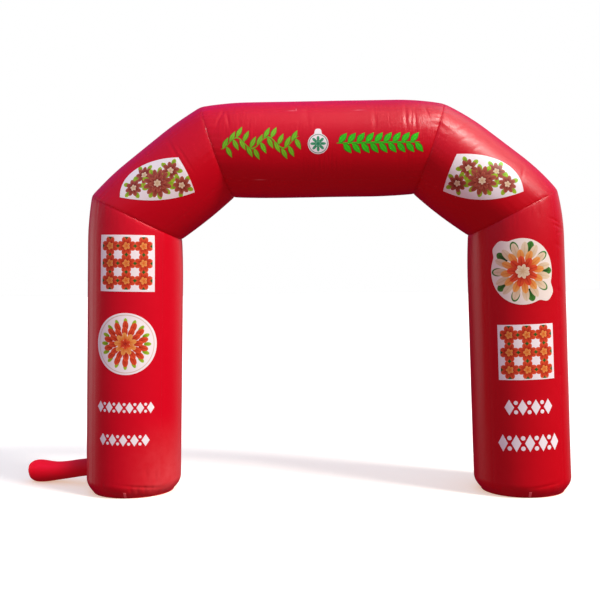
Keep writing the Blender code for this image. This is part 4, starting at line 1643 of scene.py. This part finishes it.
def row_tree(row):
    """Build the tree that lays a row of lozenges, with dots between them, on a leg."""
    tube = TUBES[row.tube]
    sizes = sizes_of(tube)
    sizes.update({"Angle": math.radians(row.angle), "Along": row.along, "Roll": 0.0,
                  "Width": row.width, "Height": row.height, "Lozenges": row.lozenges})
    tree, _, size = new_tree(f"lay_{row.name}", sizes)
    pace = size["Width"] / (size["Lozenges"] + 0.0)
    lozenge = add(tree, "GeometryNodeMeshCircle", ("fill_type", "TRIANGLE_FAN"), Vertices=4,
                  Radius=0.5)
    fine = add(tree, "GeometryNodeSubdivideMesh", Mesh=lozenge.outputs[0], Level=4)
    shaped = add(tree, "GeometryNodeTransform", Geometry=fine.outputs[0],
                 Scale=vector(tree, pace * LOZENGE_WIDTH, size["Height"], 1.0))
    line_of = add(tree, "GeometryNodeMeshLine", Count=size["Lozenges"],
                  Start_Location=vector(tree, (size["Width"] - pace) * -0.5, 0.0, 0.0),
                  Offset=vector(tree, pace, 0.0, 0.0))
    lozenges = add(tree, "GeometryNodeInstanceOnPoints", Points=line_of.outputs[0],
                   Instance=shaped.outputs[0])
    dot = add(tree, "GeometryNodeMeshCircle", ("fill_type", "TRIANGLE_FAN"), Vertices=20,
              Radius=size["Height"] * DOT_RADIUS)
    fine_dot = add(tree, "GeometryNodeSubdivideMesh", Mesh=dot.outputs[0], Level=2)
    dots = []
    for way in (-1.0, 1.0):
        gaps = add(tree, "GeometryNodeMeshLine", Count=size["Lozenges"] - 1.0,
                   Start_Location=vector(tree, (size["Width"] - pace * 2.0) * -0.5,
                                         size["Height"] * DOT_RISE * way, 0.0),
                   Offset=vector(tree, pace, 0.0, 0.0))
        dots.append(add(tree, "GeometryNodeInstanceOnPoints", Points=gaps.outputs[0],
                        Instance=fine_dot.outputs[0]).outputs[0])
    flat = joined(tree, [lozenges.outputs[0], *dots])
    real = add(tree, "GeometryNodeRealizeInstances", Geometry=flat)
    across, height, _ = point(tree)
    laid = bent(tree, size, tube, real.outputs[0], across, height, FILM_LIFT)
    close_tree(tree, laid, WHITE_VINYL)
    return tree, sizes


for row in ROWS:
    piece = run_tree(row.name, *row_tree(row))
    add_thickness(piece, FILM_THICK)
    dress(piece)

# %% Garlands of leaves on the beam
Garland = namedtuple("Garland", "name along angle width wave stem leaf breadth lean count film")
GARLANDS = (
    Garland("garland_left", 0.437, 88.0, 0.700, 0.050, 0.014, 0.115, 0.042, 64.0, 22, OLIVE_VINYL),
    Garland("garland_right", 1.492, 90.0, 0.740, 0.000, 0.018, 0.116, 0.052, 52.0, 18, GREEN_VINYL),
)
LEAF_CELLS, STEM_CELLS = 10, 120
STEM_WAVES, STEM_TAPER = 2.5, 0.7


def marked_grid(tree, columns, rows):
    """Return a grid of side 1 whose map counts from its middle."""
    grid = add(tree, "GeometryNodeMeshGrid", Vertices_X=columns, Vertices_Y=rows)
    place = tree.nodes.new("GeometryNodeInputPosition").outputs[0]
    return mapped(tree, grid.outputs["Mesh"], place)


def garland_tree(garland):
    """Build the tree that grows leaves in turn on both sides of a waving stem."""
    tube = TUBES["beam"]
    sizes = sizes_of(tube)
    sizes.update({
        "Angle": math.radians(garland.angle), "Along": garland.along, "Roll": 0.0,
        "Width": garland.width, "Wave": garland.wave, "Stem": garland.stem,
        "Leaf": garland.leaf, "Breadth": garland.breadth, "Lean": math.radians(garland.lean),
        "Count": garland.count,
    })
    tree, _, size = new_tree(f"lay_{garland.name}", sizes)
    x, y, _ = point(tree)
    strip = marked_grid(tree, STEM_CELLS, 3)
    bend = math.tau * STEM_WAVES
    taper = 1.0 - square(square(x * 2.0)) * STEM_TAPER
    stem = add(tree, "GeometryNodeSetPosition", Geometry=strip,
               Position=vector(tree, x * size["Width"],
                               y * size["Stem"] * taper + sin(x * bend) * size["Wave"], 0.0))
    blade = marked_grid(tree, LEAF_CELLS, 5)
    belly = sin((x + 0.5) * math.pi) * (1.15 - x * 0.5)
    leaf = add(tree, "GeometryNodeSetPosition", Geometry=blade,
               Position=vector(tree, (x + 0.5) * size["Leaf"], y * belly * size["Breadth"], 0.0))
    row = add(tree, "GeometryNodeMeshLine", Count=size["Count"])
    index = index_of(tree)
    share = (index + 0.5) / (size["Count"] + 0.6) - 0.5
    side = 1.0 - rest_of(index * 0.5) * 4.0
    spots = add(tree, "GeometryNodeSetPosition", Geometry=row.outputs[0],
                Position=vector(tree, share * size["Width"], sin(share * bend) * size["Wave"], 0.0))
    spin = add(tree, "FunctionNodeEulerToRotation",
               Euler=vector(tree, 0.0, 0.0, side * size["Lean"]))
    grown = add(tree, "GeometryNodeInstanceOnPoints", Points=spots.outputs[0],
                Instance=leaf.outputs[0], Rotation=spin.outputs[0])
    real = add(tree, "GeometryNodeRealizeInstances",
               Geometry=joined(tree, [stem.outputs[0], grown.outputs[0]]))
    clean = add(tree, "GeometryNodeMergeByDistance", Geometry=real.outputs[0], Distance=WELD)
    laid = bent(tree, size, tube, clean.outputs[0], -y, x, FILM_LIFT)
    close_tree(tree, laid, garland.film)
    return tree, sizes


for garland in GARLANDS:
    piece = run_tree(garland.name, *garland_tree(garland))
    add_thickness(piece, FILM_THICK)
    dress(piece)

# %% [markdown]
# ## Anchor tabs
# A short strap of pink webbing is sewn to the front of each hem, for a peg or a cord. It is
# laid on the leg as the prints are, only thicker, with ribs across it.

# %% Webbing
PINK_WEBBING, PINK_WORN = (0.95, 0.11, 0.14, 1.0), (0.92, 0.22, 0.24, 1.0)
TAB_THICK = 0.0022
RIB_PITCH, RIB_HEIGHT = 0.0024, 0.0003
YARN_PITCH, YARN_HEIGHT = 0.0012, 0.0001


def webbing(name):
    """Make narrow webbing, ribbed across."""
    material, tree, shader = new_material(name)
    across, along = place_on_cloth(tree)
    space = place_in_space(tree)
    worn = noise(tree, space, 1.0, scale=40.0, detail=3.0)
    colour = blend(tree, PINK_WEBBING, PINK_WORN, clamped(worn + 0.3))
    ribs = sin(along * (math.tau / RIB_PITCH)) * RIB_HEIGHT
    relief = ribs + weave(across, along, YARN_PITCH, YARN_HEIGHT)
    finish(tree, shader, colour, 0.65, relief)
    return material


WEBBING = webbing("webbing_pink")
print("webbing with a rib every", RIB_PITCH * 1000.0, "mm")

# %% Anchor tabs
TABS = (
    Panel("anchor_tab_left", "leg_left", 0.036, 90.5, 0.026, 0.053, 0.0, BOX, ALONG_UP, WEBBING),
    Panel("anchor_tab_right", "leg_right", 2.558, 91.0, 0.026, 0.053, 0.0, BOX, ALONG_DOWN,
          WEBBING),
)
for tab in TABS:
    piece = run_tree(f"{tab.node}_webbing", *panel_tree(tab), data=flat_sheet(tab))
    add_thickness(piece, TAB_THICK)
    dress(piece, node=tab.node)

# %% All pieces built
print("all pieces are built")
